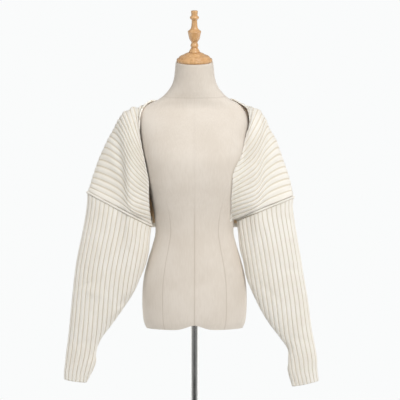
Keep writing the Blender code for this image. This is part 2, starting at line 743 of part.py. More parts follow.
def cell_triangles(column, row, stride, rising):
    """Both triangles of a grid's cell, as (column, row) corners."""
    first = (column, row)
    second = (column + stride, row)
    third = (column + stride, row + 1)
    fourth = (column, row + 1)
    if rising:
        return (first, second, third), (first, third, fourth)
    return (first, second, fourth), (second, third, fourth)


def seat_on_form(inner, outward, rising, form):
    """How far each point of the inner face moves along its outward direction.

    Cloth that lies on the form's shoulders comes down to it, and none comes nearer than the clearance.
    """
    tree = BVHTree.FromPolygons(
        [tuple(vertex.co) for vertex in form.data.vertices],
        [tuple(face.vertices) for face in form.data.polygons],
    )

    def height_over_form(point):
        place, normal, _, distance = tree.find_nearest(Vector(point))
        return math.copysign(distance, (Vector(point) - place).dot(normal))

    clearance = SEATING_CLEARANCE
    lift = np.zeros(inner.shape[:2])
    for spot in np.ndindex(lift.shape):
        x, y, z = inner[spot]
        height = height_over_form(inner[spot])
        hug = smooth_step(*HUG_HEIGHT, z) * smooth_step(*HUG_FRONT, y)
        hug *= 1 - smooth_step(*HUG_HALF_WIDTH, abs(x))
        hug *= 1 - smooth_step(*HUG_REACH, height)
        lift[spot] = -max(height - clearance, 0) * hug
    cells = list(np.ndindex(rising.shape))
    triangles = [corners for cell in cells for corners in cell_triangles(*cell, 1, rising[cell])]
    steps = range(SEATING_SAMPLES + 1)
    shares = [(i, j, SEATING_SAMPLES - i - j) for i in steps for j in steps if i + j <= SEATING_SAMPLES]
    shares = np.array(shares) / SEATING_SAMPLES
    for _ in range(SEATING_PASSES):
        seated = inner + outward * lift[..., None]
        need = np.zeros_like(lift)
        for corners in triangles:
            samples = shares @ np.array([seated[corner] for corner in corners])
            missing = clearance - min(height_over_form(sample) for sample in samples)
            if missing > 0:
                for corner in corners:
                    need[corner] = max(need[corner], SEATING_STEP * missing)
        lift += need
        if not need.any():
            break
    return lift


def inner_columns(count):
    """Columns that the plain inner face has: one under each valley, and all over the shoulders."""
    chosen = []
    for column in range(count):
        rib = abs(column / 2 - HALF_RIBS) - RIBS_BEHIND_NECK
        if column % 2 == 0 or SHOULDER_RIBS[0] <= rib <= SHOULDER_RIBS[1]:
            chosen.append(column)
    return chosen


def build_body_panel(form):
    """The knitted rectangle: ribs raised on the outer face over a plain inner face."""
    surface = panel_surface()
    outward = outward_of(surface)
    inner = surface - outward * CLOTH
    columns, rows = surface.shape[:2]
    kept = inner_columns(columns)
    rising = rising_diagonals(inner[kept])
    lift = seat_on_form(inner[kept], outward[kept], rising, form)
    inner[kept] += outward[kept] * lift[..., None]
    for column in sorted(set(range(columns)) - set(kept)):
        inner[column] = (inner[column - 1] + inner[column + 1]) / 2
    heights = np.full(columns, WALL)
    heights[1::2] = CLOTH
    outer = keep_off_seams(inner + outward * heights[:, None, None])
    inner = keep_off_seams(inner)

    points = np.concatenate([outer.reshape(-1, 3), inner[kept].reshape(-1, 3)])
    first_inner = columns * rows
    place_of = {column: place for place, column in enumerate(kept)}

    def outer_at(column, row):
        return column * rows + row

    def inner_at(column, row):
        return first_inner + place_of[column] * rows + row

    faces = []
    for place, (column, following) in enumerate(zip(kept, kept[1:])):
        stride = following - column
        for row in range(rows - 1):
            slant = rising[place, row]
            for step in range(column, following):
                for corners in cell_triangles(step, row, 1, slant):
                    faces.append([outer_at(*corner) for corner in corners])
            for corners in cell_triangles(column, row, stride, slant):
                faces.append([inner_at(*corner) for corner in reversed(corners)])
        for row in (0, rows - 1):
            rim = [outer_at(step, row) for step in range(column, following + 1)]
            rim += [inner_at(following, row), inner_at(column, row)]
            faces.append(rim[::-1] if row == 0 else rim)
    for column in (0, columns - 1):
        for row in range(rows - 1):
            end = [outer_at(column, row), inner_at(column, row)]
            end += [inner_at(column, row + 1), outer_at(column, row + 1)]
            faces.append(end if column == 0 else end[::-1])
    return add_object("body_panel", points, faces, KNIT, KNIT_SHARP)


def main():
    clear_scene()
    form = build_form_torso()
    build_turned("neck_cap", CAP_PROFILE, TURNED_SIDES)
    build_turned("finial", FINIAL_PROFILE, FINIAL_SIDES)
    build_pole()
    build_base_plate()
    build_body_panel(form)
    build_sleeve("sleeve_right", RIGHT_SLEEVE, -1)
    build_sleeve("sleeve_left", LEFT_SLEEVE, 1)
    build_armhole_seam("armhole_seam_right", RIGHT_SLEEVE, -1)
    build_armhole_seam("armhole_seam_left", LEFT_SLEEVE, 1)


main()
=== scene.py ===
# %% [markdown]
# # A ribbed cardigan on a dress form
#
# This lesson dresses a plain set of solids: an ivory cardigan in chunky rib, worn by a padded form on a
# steel stand. The solids say where everything is. Each step makes one visible thing around them, and
# explains how the real one is made and why the mesh is made the way it is.
#
# The front faces -Y and Z is up. Left and right are the wearer's, so the right sleeve lies at -X.

# %% Load the frame
import math
from collections import namedtuple

import bmesh
import bpy
import numpy as np
from mathutils import Matrix, Vector
from mathutils.bvhtree import BVHTree


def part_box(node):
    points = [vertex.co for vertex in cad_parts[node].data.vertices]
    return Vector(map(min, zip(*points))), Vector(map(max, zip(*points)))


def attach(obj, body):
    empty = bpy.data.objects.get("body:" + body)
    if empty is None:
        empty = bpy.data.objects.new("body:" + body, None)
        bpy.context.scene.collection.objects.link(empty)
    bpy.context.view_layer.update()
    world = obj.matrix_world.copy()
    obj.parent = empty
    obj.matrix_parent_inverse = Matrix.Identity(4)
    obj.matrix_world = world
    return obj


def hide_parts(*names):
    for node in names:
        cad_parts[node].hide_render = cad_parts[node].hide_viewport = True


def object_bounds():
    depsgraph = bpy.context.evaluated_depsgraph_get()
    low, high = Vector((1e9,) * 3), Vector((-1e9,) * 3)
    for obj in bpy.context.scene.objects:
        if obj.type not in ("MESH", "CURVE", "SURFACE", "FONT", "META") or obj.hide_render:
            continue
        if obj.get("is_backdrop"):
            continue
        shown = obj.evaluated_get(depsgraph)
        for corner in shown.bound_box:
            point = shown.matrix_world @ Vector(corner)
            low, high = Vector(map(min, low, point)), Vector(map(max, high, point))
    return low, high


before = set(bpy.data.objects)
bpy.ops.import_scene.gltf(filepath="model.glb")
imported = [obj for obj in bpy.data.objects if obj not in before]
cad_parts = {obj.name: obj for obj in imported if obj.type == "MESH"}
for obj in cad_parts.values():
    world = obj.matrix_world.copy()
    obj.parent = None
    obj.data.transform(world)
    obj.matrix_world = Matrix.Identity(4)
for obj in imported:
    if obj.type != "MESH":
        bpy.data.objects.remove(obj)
CAD_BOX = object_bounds()
MM = 0.001
print("frame:", sorted(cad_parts))

# %% [markdown]
# ## The camera
#
# A long lens from four metres keeps the sleeves and the torso at nearly the same scale, as a shop
# photograph does. One pixel of the photograph is 3.05 mm at the form's middle plane, and that one size
# gives the width of the view, the lens and the camera's place.

# %% Camera
PIXEL = 3.05 * MM
PICTURE = 400  # pixels across
AXIS_PIXEL = 194.5  # the form's axis crosses the picture here
HEM_PIXEL = 327.5  # the form's lower edge
HEM_HEIGHT = 680 * MM
CAMERA_DISTANCE = 4.0
SENSOR = 36.0

view_centre = Vector(
    (
        (PICTURE / 2 - AXIS_PIXEL) * PIXEL,
        0,
        HEM_HEIGHT + (HEM_PIXEL - PICTURE / 2) * PIXEL,
    )
)
camera = bpy.data.objects.new("camera", bpy.data.cameras.new("camera"))
bpy.context.scene.collection.objects.link(camera)
camera.location = view_centre + Vector((0, -CAMERA_DISTANCE, 0))
camera.rotation_euler = (math.radians(90), 0, 0)
camera.data.sensor_width = SENSOR
camera.data.lens = SENSOR * CAMERA_DISTANCE / (PICTURE * PIXEL)
bpy.context.scene.camera = camera
print("lens:", round(camera.data.lens, 1), "mm, view centre:", tuple(round(v, 3) for v in view_centre))

# %% [markdown]
# ## The studio
#
# The cardigan was photographed on seamless white, so everything round it is paper, card and soft light.

# %% Things on the stage
WHITE = (0.955, 0.965, 0.965, 1)


def add_stage(name, points, faces, colour, glow=0.0):
    mesh = bpy.data.meshes.new(name)
    mesh.from_pydata(points, [], faces)
    material = bpy.data.materials.new(name)
    material.use_nodes = True
    shader = material.node_tree.nodes["Principled BSDF"]
    shader.inputs["Base Color"].default_value = colour
    shader.inputs["Roughness"].default_value = 0.9
    shader.inputs["Emission Color"].default_value = colour
    shader.inputs["Emission Strength"].default_value = glow
    mesh.materials.append(material)
    thing = bpy.data.objects.new(name, mesh)
    bpy.context.scene.collection.objects.link(thing)
    thing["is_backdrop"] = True
    print(f"{name}: {len(faces)} faces on the stage")
    return thing


def add_sheet_on_floor(name, half_width, low, high, lift, colour):
    points = [(-half_width, low, lift), (half_width, low, lift)]
    points += [(half_width, high, lift), (-half_width, high, lift)]
    return add_stage(name, points, [(0, 1, 2, 3)], colour)


def show_camera(tree, real, shown, output, share=None):
    """The camera sees the shown shader, or that share of it. All other light meets the real one."""
    seen = tree.nodes.new("ShaderNodeLightPath").outputs["Is Camera Ray"]
    if share is not None:
        part = tree.nodes.new("ShaderNodeMath")
        part.operation = "MULTIPLY"
        tree.links.new(share, part.inputs[0])
        tree.links.new(seen, part.inputs[1])
        seen = part.outputs[0]
    blend = tree.nodes.new("ShaderNodeMixShader")
    tree.links.new(seen, blend.inputs[0])
    tree.links.new(real.outputs[0], blend.inputs[1])
    tree.links.new(shown.outputs[0], blend.inputs[2])
    tree.links.new(blend.outputs[0], output.inputs[0])


# %% [markdown]
# ### The floor
#
# Close to the stand the floor is a pale board that takes the base plate's soft shadow. Less than a metre
# away the camera sees it turn into white paper. The paper glows evenly, so the floor has no far edge and
# no horizon from any side.

# %% Floor
FLOOR_HALF = 15
FLOOR_BOARD = (0.9, 0.9, 0.9, 1)
FLOOR_FADES = (0.3, 0.8)  # metres from the stand: where the board turns into paper
FLOOR_PAPER = (0.5, 1.0)  # how much of the floor is paper, nearer and further than that

floor = add_sheet_on_floor("floor", FLOOR_HALF, -FLOOR_HALF, FLOOR_HALF, 0, FLOOR_BOARD)
tree = floor.data.materials[0].node_tree
place = tree.nodes.new("ShaderNodeTexCoord")
distance = tree.nodes.new("ShaderNodeVectorMath")
distance.operation = "LENGTH"
tree.links.new(place.outputs["Object"], distance.inputs[0])
fading = tree.nodes.new("ShaderNodeMapRange")
fading.interpolation_type = "SMOOTHSTEP"
tree.links.new(distance.outputs["Value"], fading.inputs["Value"])
for socket, value in zip(("From Min", "From Max", "To Min", "To Max"), (*FLOOR_FADES, *FLOOR_PAPER)):
    fading.inputs[socket].default_value = value
paper = tree.nodes.new("ShaderNodeEmission")
paper.inputs["Color"].default_value = WHITE
board, output = tree.nodes["Principled BSDF"], tree.nodes["Material Output"]
show_camera(tree, board, paper, output, fading.outputs["Result"])

# %% [markdown]
# ### White card and black cloth
#
# White card curves round behind, and the pole and the cloth's edges pick it up. Black cloth lies on the
# floor in front, which keeps the middle of the pole dark and stops light coming up at the hips. The camera
# sees neither, so they are in nobody's way from another side.

# %% Card and cloth
CARD_RADIUS = 2.4
CARD_RISE = (0.02, 1.25)
CARD_HALF_TURN = 95  # degrees either side of straight behind
CARD_STEPS = 25
CARD_GLOW = 0.8
CLOTH_DEPTH = (-6, -0.8)
CLOTH_HALF = 1.9
CLOTH_LIFT = 0.003
CLOTH_BLACK = (0.03, 0.03, 0.03, 1)

card_points = []
for turn in np.radians(np.linspace(90 - CARD_HALF_TURN, 90 + CARD_HALF_TURN, CARD_STEPS)):
    for height in CARD_RISE:
        card_points.append((CARD_RADIUS * math.cos(turn), CARD_RADIUS * math.sin(turn), height))
card_faces = [(i, i + 1, i + 3, i + 2) for i in range(0, len(card_points) - 2, 2)]
card = add_stage("white_card", card_points, card_faces, WHITE, CARD_GLOW)
card.visible_camera = False

black_cloth = add_sheet_on_floor("black_cloth", CLOTH_HALF, *CLOTH_DEPTH, CLOTH_LIFT, CLOTH_BLACK)
black_cloth.visible_camera = False

# %% [markdown]
# ### Soft boxes
#
# The big soft box stands in front at the viewer's right. It draws the shadow side of every rib at the
# left. A weaker, warmer one at the left opens those shadows, and a faint one hangs overhead. The room
# itself is a dim even white, which the camera sees as the paper's white.

# %% Lights and room
ROOM_GLOW = 0.4
SoftBox = namedtuple("SoftBox", "name place aim width height power colour")
SOFT_BOXES = [
    SoftBox("key", (1.35, -2.8, 2.55), (0, 0, 1.2), 1.3, 1.6, 85, (1.0, 0.985, 0.96)),
    SoftBox("fill", (-2.5, -2.2, 1.7), (0, 0, 1.1), 1.8, 2.0, 18, (1.0, 0.97, 0.92)),
    SoftBox("overhead", (0.2, -0.4, 3.4), (0, 0, 1.2), 1.8, 1.8, 5, (1.0, 1.0, 1.0)),
]

for box in SOFT_BOXES:
    light = bpy.data.objects.new(box.name, bpy.data.lights.new(box.name, "AREA"))
    light.data.shape = "RECTANGLE"
    light.data.size = box.width
    light.data.size_y = box.height
    light.data.energy = box.power
    light.data.color = box.colour
    light.location = box.place
    light.rotation_euler = (Vector(box.aim) - Vector(box.place)).to_track_quat("-Z", "Y").to_euler()
    bpy.context.scene.collection.objects.link(light)

world = bpy.data.worlds.new("studio")
world.use_nodes = True
tree = world.node_tree
room = tree.nodes["Background"]
room.inputs["Color"].default_value = (1, 1, 1, 1)
room.inputs["Strength"].default_value = ROOM_GLOW
paper = tree.nodes.new("ShaderNodeBackground")
paper.inputs["Color"].default_value = WHITE
show_camera(tree, room, paper, tree.nodes["World Output"])
bpy.context.scene.world = world
bpy.context.scene.view_settings.view_transform = "Standard"
print("soft boxes:", {box.name: box.power for box in SOFT_BOXES}, "watts")

# %% [markdown]
# ## Smooth lines from a few measured points
#
# A draped garment has no formula, but a few measured points on each rib are enough when a smooth line is
# run through them. These helpers are the whole of the geometry kit: a spline, the length along a line,
# and points spread along it. Everything that follows is tables fed to them.

# %% Line helpers
LINE_SAMPLES = 700


def spline(knots, values, positions, overshoot=True):
    """Smooth curve through values at knots, read at positions. Without overshoot it stays between them."""
    knots = np.asarray(knots, dtype=float)
    values = np.asarray(values, dtype=float)
    positions = np.atleast_1d(np.asarray(positions, dtype=float))
    steps = np.diff(knots)
    flat = (slice(None),) + (None,) * (values.ndim - 1)
    rises = np.diff(values, axis=0) / steps[flat]
    slopes = np.empty_like(values)
    slopes[0] = rises[0]
    slopes[-1] = rises[-1]
    before = (steps[1:] / (steps[1:] + steps[:-1]))[flat]
    slopes[1:-1] = before * rises[:-1] + (1 - before) * rises[1:]
    if not overshoot:
        limit = 2 * np.minimum(np.abs(rises[:-1]), np.abs(rises[1:]))
        limit = np.where(rises[:-1] * rises[1:] > 0, limit, 0)
        slopes[1:-1] = np.clip(slopes[1:-1], -limit, limit)
    low = np.clip(np.searchsorted(knots, positions, side="right") - 1, 0, len(steps) - 1)
    width = steps[low][flat]
    t = ((positions - knots[low]) / steps[low])[flat]
    near = (1 + 2 * t) * (1 - t) ** 2 * values[low] + t * (1 - t) ** 2 * width * slopes[low]
    far = t**2 * (3 - 2 * t) * values[low + 1] - t**2 * (1 - t) * width * slopes[low + 1]
    return near + far


def lengths_along(points):
    steps = np.linalg.norm(np.diff(points, axis=0), axis=1)
    return np.concatenate([[0.0], np.cumsum(steps)])


def read_line(points, distances):
    """Points at given distances along a line of many points."""
    travelled = lengths_along(points)
    return np.stack([np.interp(distances, travelled, points[:, axis]) for axis in range(3)], axis=1)


def spread(controls, shares):
    """Points at shares of the length of the smooth line through a few control points."""
    controls = np.asarray(controls, dtype=float)
    knots = lengths_along(controls)
    fine = spline(knots, controls, np.linspace(0, knots[-1], LINE_SAMPLES))
    return read_line(fine, np.asarray(shares) * lengths_along(fine)[-1])


def unit(vectors):
    return vectors / np.maximum(np.linalg.norm(vectors, axis=-1, keepdims=True), 1e-12)


def soft_step(low, high, values):
    t = np.clip((np.asarray(values) - low) / (high - low), 0, 1)
    return t * t * (3 - 2 * t)


print("a spline through 0, 1, 0 is", spline([0, 1, 2], [0, 1, 0], 0.5)[0], "a quarter of the way along")

# %% [markdown]
# ## Meshes
#
# Each piece is one mesh made from plain lists of points and faces, because that keeps the ribs exactly
# where the knitting puts them. A modifier stack would be quicker to type, but it couldn't cut a rib off
# at a slanting seam. The second helper hangs a piece on the stand and hides the solids it stands for.


# %% Mesh helpers
def add_piece(name, points, faces, material, sharp_angle=70, layers=None, merge=None):
    """A closed mesh with smooth shading. layers holds numbers for each point: pairs are UVs."""
    mesh = bpy.data.meshes.new(name)
    mesh.from_pydata(np.asarray(points, dtype=float).tolist(), [], faces)
    corner_points = np.empty(len(mesh.loops), dtype=np.int32)
    mesh.loops.foreach_get("vertex_index", corner_points)
    for layer, values in (layers or {}).items():
        values = np.asarray(values, dtype=np.float32)
        if values.ndim == 2:
            uv = mesh.uv_layers.new(name=layer)
            uv.data.foreach_set("uv", values[corner_points].ravel())
        else:
            mesh.attributes.new(layer, "FLOAT", "POINT").data.foreach_set("value", values)
    body = bmesh.new()
    body.from_mesh(mesh)
    if merge:
        bmesh.ops.remove_doubles(body, verts=body.verts, dist=merge)
    bmesh.ops.recalc_face_normals(body, faces=body.faces)
    body.to_mesh(mesh)
    body.free()
    mesh.materials.append(material)
    mesh.shade_smooth()
    mesh.set_sharp_from_angle(angle=math.radians(sharp_angle))
    piece = bpy.data.objects.new(name, mesh)
    bpy.context.scene.collection.objects.link(piece)
    triangles = sum(len(face.vertices) - 2 for face in mesh.polygons)
    print(f"{name}: {triangles} triangles")
    return piece


def seat(piece, slot, *nodes):
    """The piece rides with the stand, and the plain solids it stands for are hidden. slot is not used."""
    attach(piece, "root")
    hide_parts(*nodes)


# %% [markdown]
# ## Node trees
#
# A finish is a tree of shader nodes: noise and waves give numbers, ramps turn them into shares, and the
# shares mix colours or raise a bump. Nodes can be wired by hand in the editor, but a few short calls say
# the same in lines that can be read and changed.


# %% Wiring helper
class Wiring:
    """A new material and short calls to wire its nodes."""

    def __init__(self, name, **constants):
        self.material = bpy.data.materials.new(name)
        self.material.use_nodes = True
        self.tree = self.material.node_tree
        self.shader = self.tree.nodes["Principled BSDF"]
        for socket, value in constants.items():
            self.shader.inputs[socket.replace("_", " ")].default_value = value

    def plug(self, value, socket):
        if isinstance(value, bpy.types.NodeSocket):
            self.tree.links.new(value, socket)
        else:
            socket.default_value = value

    def node(self, kind, inputs=(), **settings):
        made = self.tree.nodes.new("ShaderNode" + kind)
        for setting, value in settings.items():
            setattr(made, setting, value)
        for socket, value in dict(inputs).items():
            self.plug(value, made.inputs[socket])
        return made

    def math(self, operation, *values):
        made = self.node("Math", enumerate(values), operation=operation)
        return made.outputs[0]

    def ramp(self, value, low, high, start=0.0, end=1.0):
        inputs = {"Value": value, "From Min": low, "From Max": high, "To Min": start, "To Max": end}
        return self.node("MapRange", inputs, interpolation_type="SMOOTHSTEP").outputs["Result"]

    def noise(self, scale, detail=3.0, place=None):
        inputs = {"Scale": scale, "Detail": detail}
        if place is not None:
            inputs["Vector"] = place
        return self.node("TexNoise", inputs).outputs["Fac"]

    def tint(self, share, dark, light):
        made = self.node("Mix", data_type="RGBA")
        self.plug(share, made.inputs[0])
        for colour, socket in ((dark, made.inputs[6]), (light, made.inputs[7])):
            self.plug(colour if isinstance(colour, bpy.types.NodeSocket) else (*colour, 1), socket)
        return made.outputs[2]

    def bump(self, height, depth, strength=1.0, under=None):
        inputs = {"Height": height, "Distance": depth, "Strength": strength}
        if under is not None:
            inputs["Normal"] = under
        return self.node("Bump", inputs).outputs["Normal"]

    def place(self):
        return self.node("TexCoord").outputs["Object"]


# %% [markdown]
# ## The form's linen
#
# The torso is padded and covered in plain-woven linen. A weave at that scale is far below a pixel, so it
# is bump and a slight mottling of colour, in object space, where it can't stretch. Along each sewn seam
# the mesh carries a number called "seam", which darkens the thread line a little.

# %% Linen
LINEN_LIGHT = (0.745, 0.685, 0.615)
LINEN_DARK = (0.675, 0.61, 0.535)
LINEN_SEAM = (0.50, 0.43, 0.36)
THREADS_PER_METRE = 1400


def make_linen():
    wiring = Wiring("cream_linen", Roughness=0.86, Sheen_Weight=0.15, Sheen_Roughness=0.5)
    place = wiring.place()
    x, y, z = wiring.node("SeparateXYZ", {0: place}).outputs
    around = wiring.math("ADD", x, wiring.math("MULTIPLY", y, 0.7))
    threads = math.pi * THREADS_PER_METRE
    warp, weft = (wiring.math("SINE", wiring.math("MULTIPLY", way, threads)) for way in (around, z))
    weave = wiring.math("MULTIPLY", warp, weft)
    slub = wiring.noise(260, 2, wiring.node("Mapping", {"Vector": place, "Scale": (1, 1, 0.15)}).outputs[0])
    cloud = wiring.noise(9, 2, place)
    mottle = wiring.math("ADD", wiring.math("MULTIPLY", slub, 0.35), wiring.math("MULTIPLY", cloud, 0.65))
    colour = wiring.tint(wiring.ramp(mottle, 0.3, 0.7), LINEN_DARK, LINEN_LIGHT)
    seam = wiring.node("Attribute", attribute_name="seam").outputs["Fac"]
    colour = wiring.tint(wiring.math("MULTIPLY", seam, 0.6), colour, LINEN_SEAM)
    wiring.plug(colour, wiring.shader.inputs["Base Color"])
    rough = wiring.bump(weave, 0.00015, 0.5)
    wiring.plug(wiring.bump(slub, 0.0006, 0.4, rough), wiring.shader.inputs["Normal"])
    return wiring.material


linen = make_linen()
print("linen:", THREADS_PER_METRE / 1000, "threads a millimetre")

# %% [markdown]
# ## The dress form
#
# A form is a stack of sections: hips, waist, chest, shoulder slope, neck. Each row of the table is one
# ring, in millimetres and degrees, and a spline up the rings gives as many as the surface needs. The
# fullness draws a section out towards its corners, as a chest is. The neck's rings lean forward more and
# more until they meet the tilted cap.

# %% Table of the form
FormRing = namedtuple("FormRing", "height middle_y half_width front back lean fullness")
FORM_RINGS = [
    FormRing(680, 4, 147, 96, 102, 0, 2),
    FormRing(690, 4, 152, 99, 106, 0, 2),
    FormRing(712, 4, 157, 102, 111, 0, 2),
    FormRing(760, 4, 159.5, 104, 114, 0, 2),
    FormRing(800, 4, 158.5, 102, 112, 0, 2),
    FormRing(840, 3, 153.5, 98, 105, 0, 2),
    FormRing(886, 1, 142, 93, 95, 0, 2),
    FormRing(930, 0, 128.5, 88, 86, 0, 2),
    FormRing(974, -1, 119, 86, 83, 0, 2),
    FormRing(1020, -2, 122, 90, 86, 0, 2.1),
    FormRing(1070, -3, 133, 99, 92, 0, 2.3),
    FormRing(1125, -4, 146, 110, 98, 0, 2.5),
    FormRing(1175, -4, 153, 115, 103, 0, 2.5),
    FormRing(1225, -1, 163, 107, 105, 0, 2.5),
    FormRing(1265, 3, 170, 93, 102, 0, 2.5),
    FormRing(1298, 7, 176, 79, 91, 0, 2.5),
    FormRing(1320, 10, 180, 66, 78, 0, 2.4),
    FormRing(1336, 10, 179, 56, 66, 0, 2.2),
    FormRing(1348, 10, 168, 51, 58, 0, 2),
    FormRing(1357, 10, 151, 51, 54, 0, 2),
    FormRing(1365, 9, 134, 52, 53, 0, 2),
    FormRing(1373, 8, 116, 53, 53, 1, 2),
    FormRing(1385, 5, 98, 54, 53, 3, 2),
    FormRing(1402, 1, 81, 56, 55, 5, 2),
    FormRing(1420, -4, 69, 56, 56, 7, 2),
    FormRing(1440, -9, 62.5, 56, 56, 10, 2),
    FormRing(1462, -14, 59.5, 56, 56, 13, 2),
]
NECK_TILT = math.radians(15.5)
NECK_CAP_CENTRE = Vector((0, -22 * MM, 1494 * MM))
CAP_EDGE = 6 * MM
NECK_TOP_RADIUS = 57 * MM
GAP = 0.3 * MM
POLE_RADIUS = 12.5 * MM
SOCKET_DEPTH = 60 * MM
print("form:", len(FORM_RINGS), "rings from", FORM_RINGS[0].height, "to", FORM_RINGS[-1].height, "mm")

# %% [markdown]
# ### Where the linen is sewn
#
# The cover has a seam down the front, sides and back and one round the base of the neck. Where two pieces
# are sewn together the cover dips, so extra columns and rows of points stand close together there and
# sink a little. The front's upright seams are lost in the nap above the waist, so they fade out.

# %% Sections and seams of the form
FORM_ROWS = 150
FORM_STEP = 3  # degrees from one column to the next
BESIDE_SEAM = (-1.2, -0.6, -0.3, 0, 0.3, 0.6, 1.2)  # degrees
COVER_SEAMS = (-90, -53, -127, 0, 180, 53, 127, 90)  # degrees round the form; -90 is the centre front
COLLAR_SEAM = 1389  # height of the seam where the neck piece starts
COLLAR_DROP = 12  # how much lower it runs in front
COLLAR_BAND = 3  # rows lie closer together this far above and below it
COLLAR_STEP = 1.1
COLLAR_SHARE = 0.5
SEAM_DIP = 0.7 * MM
SEAM_WIDTH = 1.5 * MM
SEAM_SHOWS = (970, 1090)  # heights between which the upright seams fade into the nap
SEAM_LOST = 0.85
ARCH_HEIGHT = 14 * MM
ARCH_WIDTH = 32 * MM
ARCH_FADE = 60 * MM


def form_angles():
    """Directions round the form, with extra ones beside each cover seam."""
    angles = set(range(-180, 180, FORM_STEP))
    for seam in COVER_SEAMS:
        angles |= {(seam + step + 180) % 360 - 180 for step in BESIDE_SEAM}
    return np.radians(sorted(angles))


def form_rings():
    """The table's rows, run through by a spline, with extra ones beside the collar seam."""
    table = np.array(FORM_RINGS, dtype=float)
    heights = np.linspace(table[0, 0], table[-1, 0], FORM_ROWS)
    low, high = COLLAR_SEAM - COLLAR_DROP - COLLAR_BAND, COLLAR_SEAM + COLLAR_BAND
    heights = np.concatenate([heights, np.arange(low, high, COLLAR_STEP)])
    return spline(table[:, 0], table, np.unique(heights), overshoot=False)


def squared(values, fullness):
    """Sines or cosines, drawn out towards the corners of a fuller section."""
    return np.sign(values) * np.abs(values) ** (2 / fullness)


def form_section(ring, angles):
    height, middle_y, half_width, front, back, lean, fullness = ring
    depth = np.where(np.sin(angles) > 0, back, front)
    x = half_width * squared(np.cos(angles), fullness) * MM
    along_y = depth * squared(np.sin(angles), fullness) * MM
    fade = max(0.0, 1 - (height - FORM_RINGS[0].height) * MM / ARCH_FADE)
    arch = ARCH_HEIGHT * fade * np.exp(-((x / ARCH_WIDTH) ** 2))
    z = height * MM + along_y * math.tan(math.radians(lean)) + arch
    return np.stack([x, middle_y * MM + along_y, z], axis=1)


def seam_share(ring, angles):
    """1 on a sewn line of the cover, 0 away from it."""
    turned = angles[:, None] - np.radians(COVER_SEAMS)
    around = np.degrees(np.abs((turned + math.pi) % (2 * math.pi) - math.pi))
    away = around.min(axis=1) * math.pi / 180 * ring[2] * MM
    share = np.exp(-((away / SEAM_WIDTH) ** 2)) * (1 - SEAM_LOST * soft_step(*SEAM_SHOWS, ring[0]))
    collar = COLLAR_SEAM - COLLAR_DROP * np.maximum(-np.sin(angles), 0)
    over_collar = (ring[0] - collar) * MM
    share = np.where(over_collar > 0, 0, share)
    return np.maximum(share, COLLAR_SHARE * np.exp(-((over_collar / SEAM_WIDTH) ** 2)))


print("columns round the form:", len(form_angles()), "rows up it:", len(form_rings()))

# %% [markdown]
# ### Padding out the form
#
# The rings become one closed skin. It starts in the socket for the pole, spreads over the slightly
# crowned underside to the first ring, climbs the table, and ends in a round top under the wooden cap. The
# two helpers for rings and skins serve every round piece below as well.


# %% Ring and skin helpers
def flat_ring(radius, height, angles):
    heights = np.full(len(angles), height)
    return np.stack([radius * np.cos(angles), radius * np.sin(angles), heights], axis=1)


def tube_faces(rows, around, cap_ends=True):
    faces = []
    for row in range(rows - 1):
        for side in range(around):
            following = (side + 1) % around
            here = row * around
            faces.append((here + side, here + following, here + around + following, here + around + side))
    if cap_ends:
        faces.append(tuple(range(around))[::-1])
        faces.append(tuple(range((rows - 1) * around, rows * around)))
    return faces


print("a capped tube of 3 rings with 8 points has", len(tube_faces(3, 8)), "faces")

# %% [markdown]
# ### The skin of the form
#
# Padding and linen are one skin here, since nothing of the padding shows. Every ring has the same number
# of points, so the rings join with four-sided faces all the way up.

# %% Dress form
UNDERSIDE_SHARES = (0.35, 0.6, 0.8, 0.93, 0.985)  # of the way from the socket to the lower edge
UNDERSIDE_CROWN = 6 * MM
NECK_ROWS = 9
NECK_EASE = 0.015  # the last ring draws in, so that the linen turns over the edge
SOCKET_GAP = 1.2 * GAP


def build_dress_form():
    angles = form_angles()
    mouth = FORM_RINGS[0].height * MM + ARCH_HEIGHT
    socket = POLE_RADIUS + SOCKET_GAP
    edge = form_section(FORM_RINGS[0], angles)
    rings = [flat_ring(socket, mouth + SOCKET_DEPTH, angles), flat_ring(socket, mouth, angles)]
    centre = np.array([0, 0, mouth])
    for share in UNDERSIDE_SHARES:
        ring = centre + (edge - centre) * share
        ring[:, 2] += (1 - share) * UNDERSIDE_CROWN
        rings.append(ring)
    seams = [np.zeros(len(angles))] * len(rings)
    for ring in form_rings():
        share = seam_share(ring, angles)
        section = form_section(ring, angles)
        middle = section.mean(axis=0)
        rings.append(section - unit((section - middle) * (1, 1, 0)) * (share * SEAM_DIP)[:, None])
        seams.append(share)
    lean = np.array(Matrix.Rotation(NECK_TILT, 3, "X"))
    top = np.array(NECK_CAP_CENTRE) + lean @ np.array([0, 0, -CAP_EDGE - GAP])
    below = rings[-1]
    neck_top = top + flat_ring(NECK_TOP_RADIUS, 0, angles) @ lean.T
    for share in np.linspace(0, 1, NECK_ROWS)[1:]:
        rings.append(below + (neck_top - below) * share)
        seams.append(np.zeros(len(angles)))
    inward = neck_top.mean(axis=0)
    rings[-1] = neck_top + (inward - neck_top) * NECK_EASE
    points = np.concatenate(rings)
    faces = tube_faces(len(rings), len(angles))
    return add_piece("dress_form", points, faces, linen, 50, {"seam": np.concatenate(seams)})


dress_form = build_dress_form()
seat(dress_form, "linen_cover", "form_torso")

# %% [markdown]
# ## Turned wood
#
# The cap and its finial are turned on a lathe, so each is a profile spun round one axis, leaning forward
# with the neck. The profile gets a few crisp beads and grooves where the turner's tool cut in. Grain runs
# along the axis of the blank: noise that is stretched fifteen times lengthwise gives its streaks, and a
# little clear varnish gives the gloss.

# %% Wood
WOOD_PALE = (0.70, 0.43, 0.205)
WOOD_MID = (0.575, 0.325, 0.14)
WOOD_DEEP = (0.40, 0.20, 0.075)


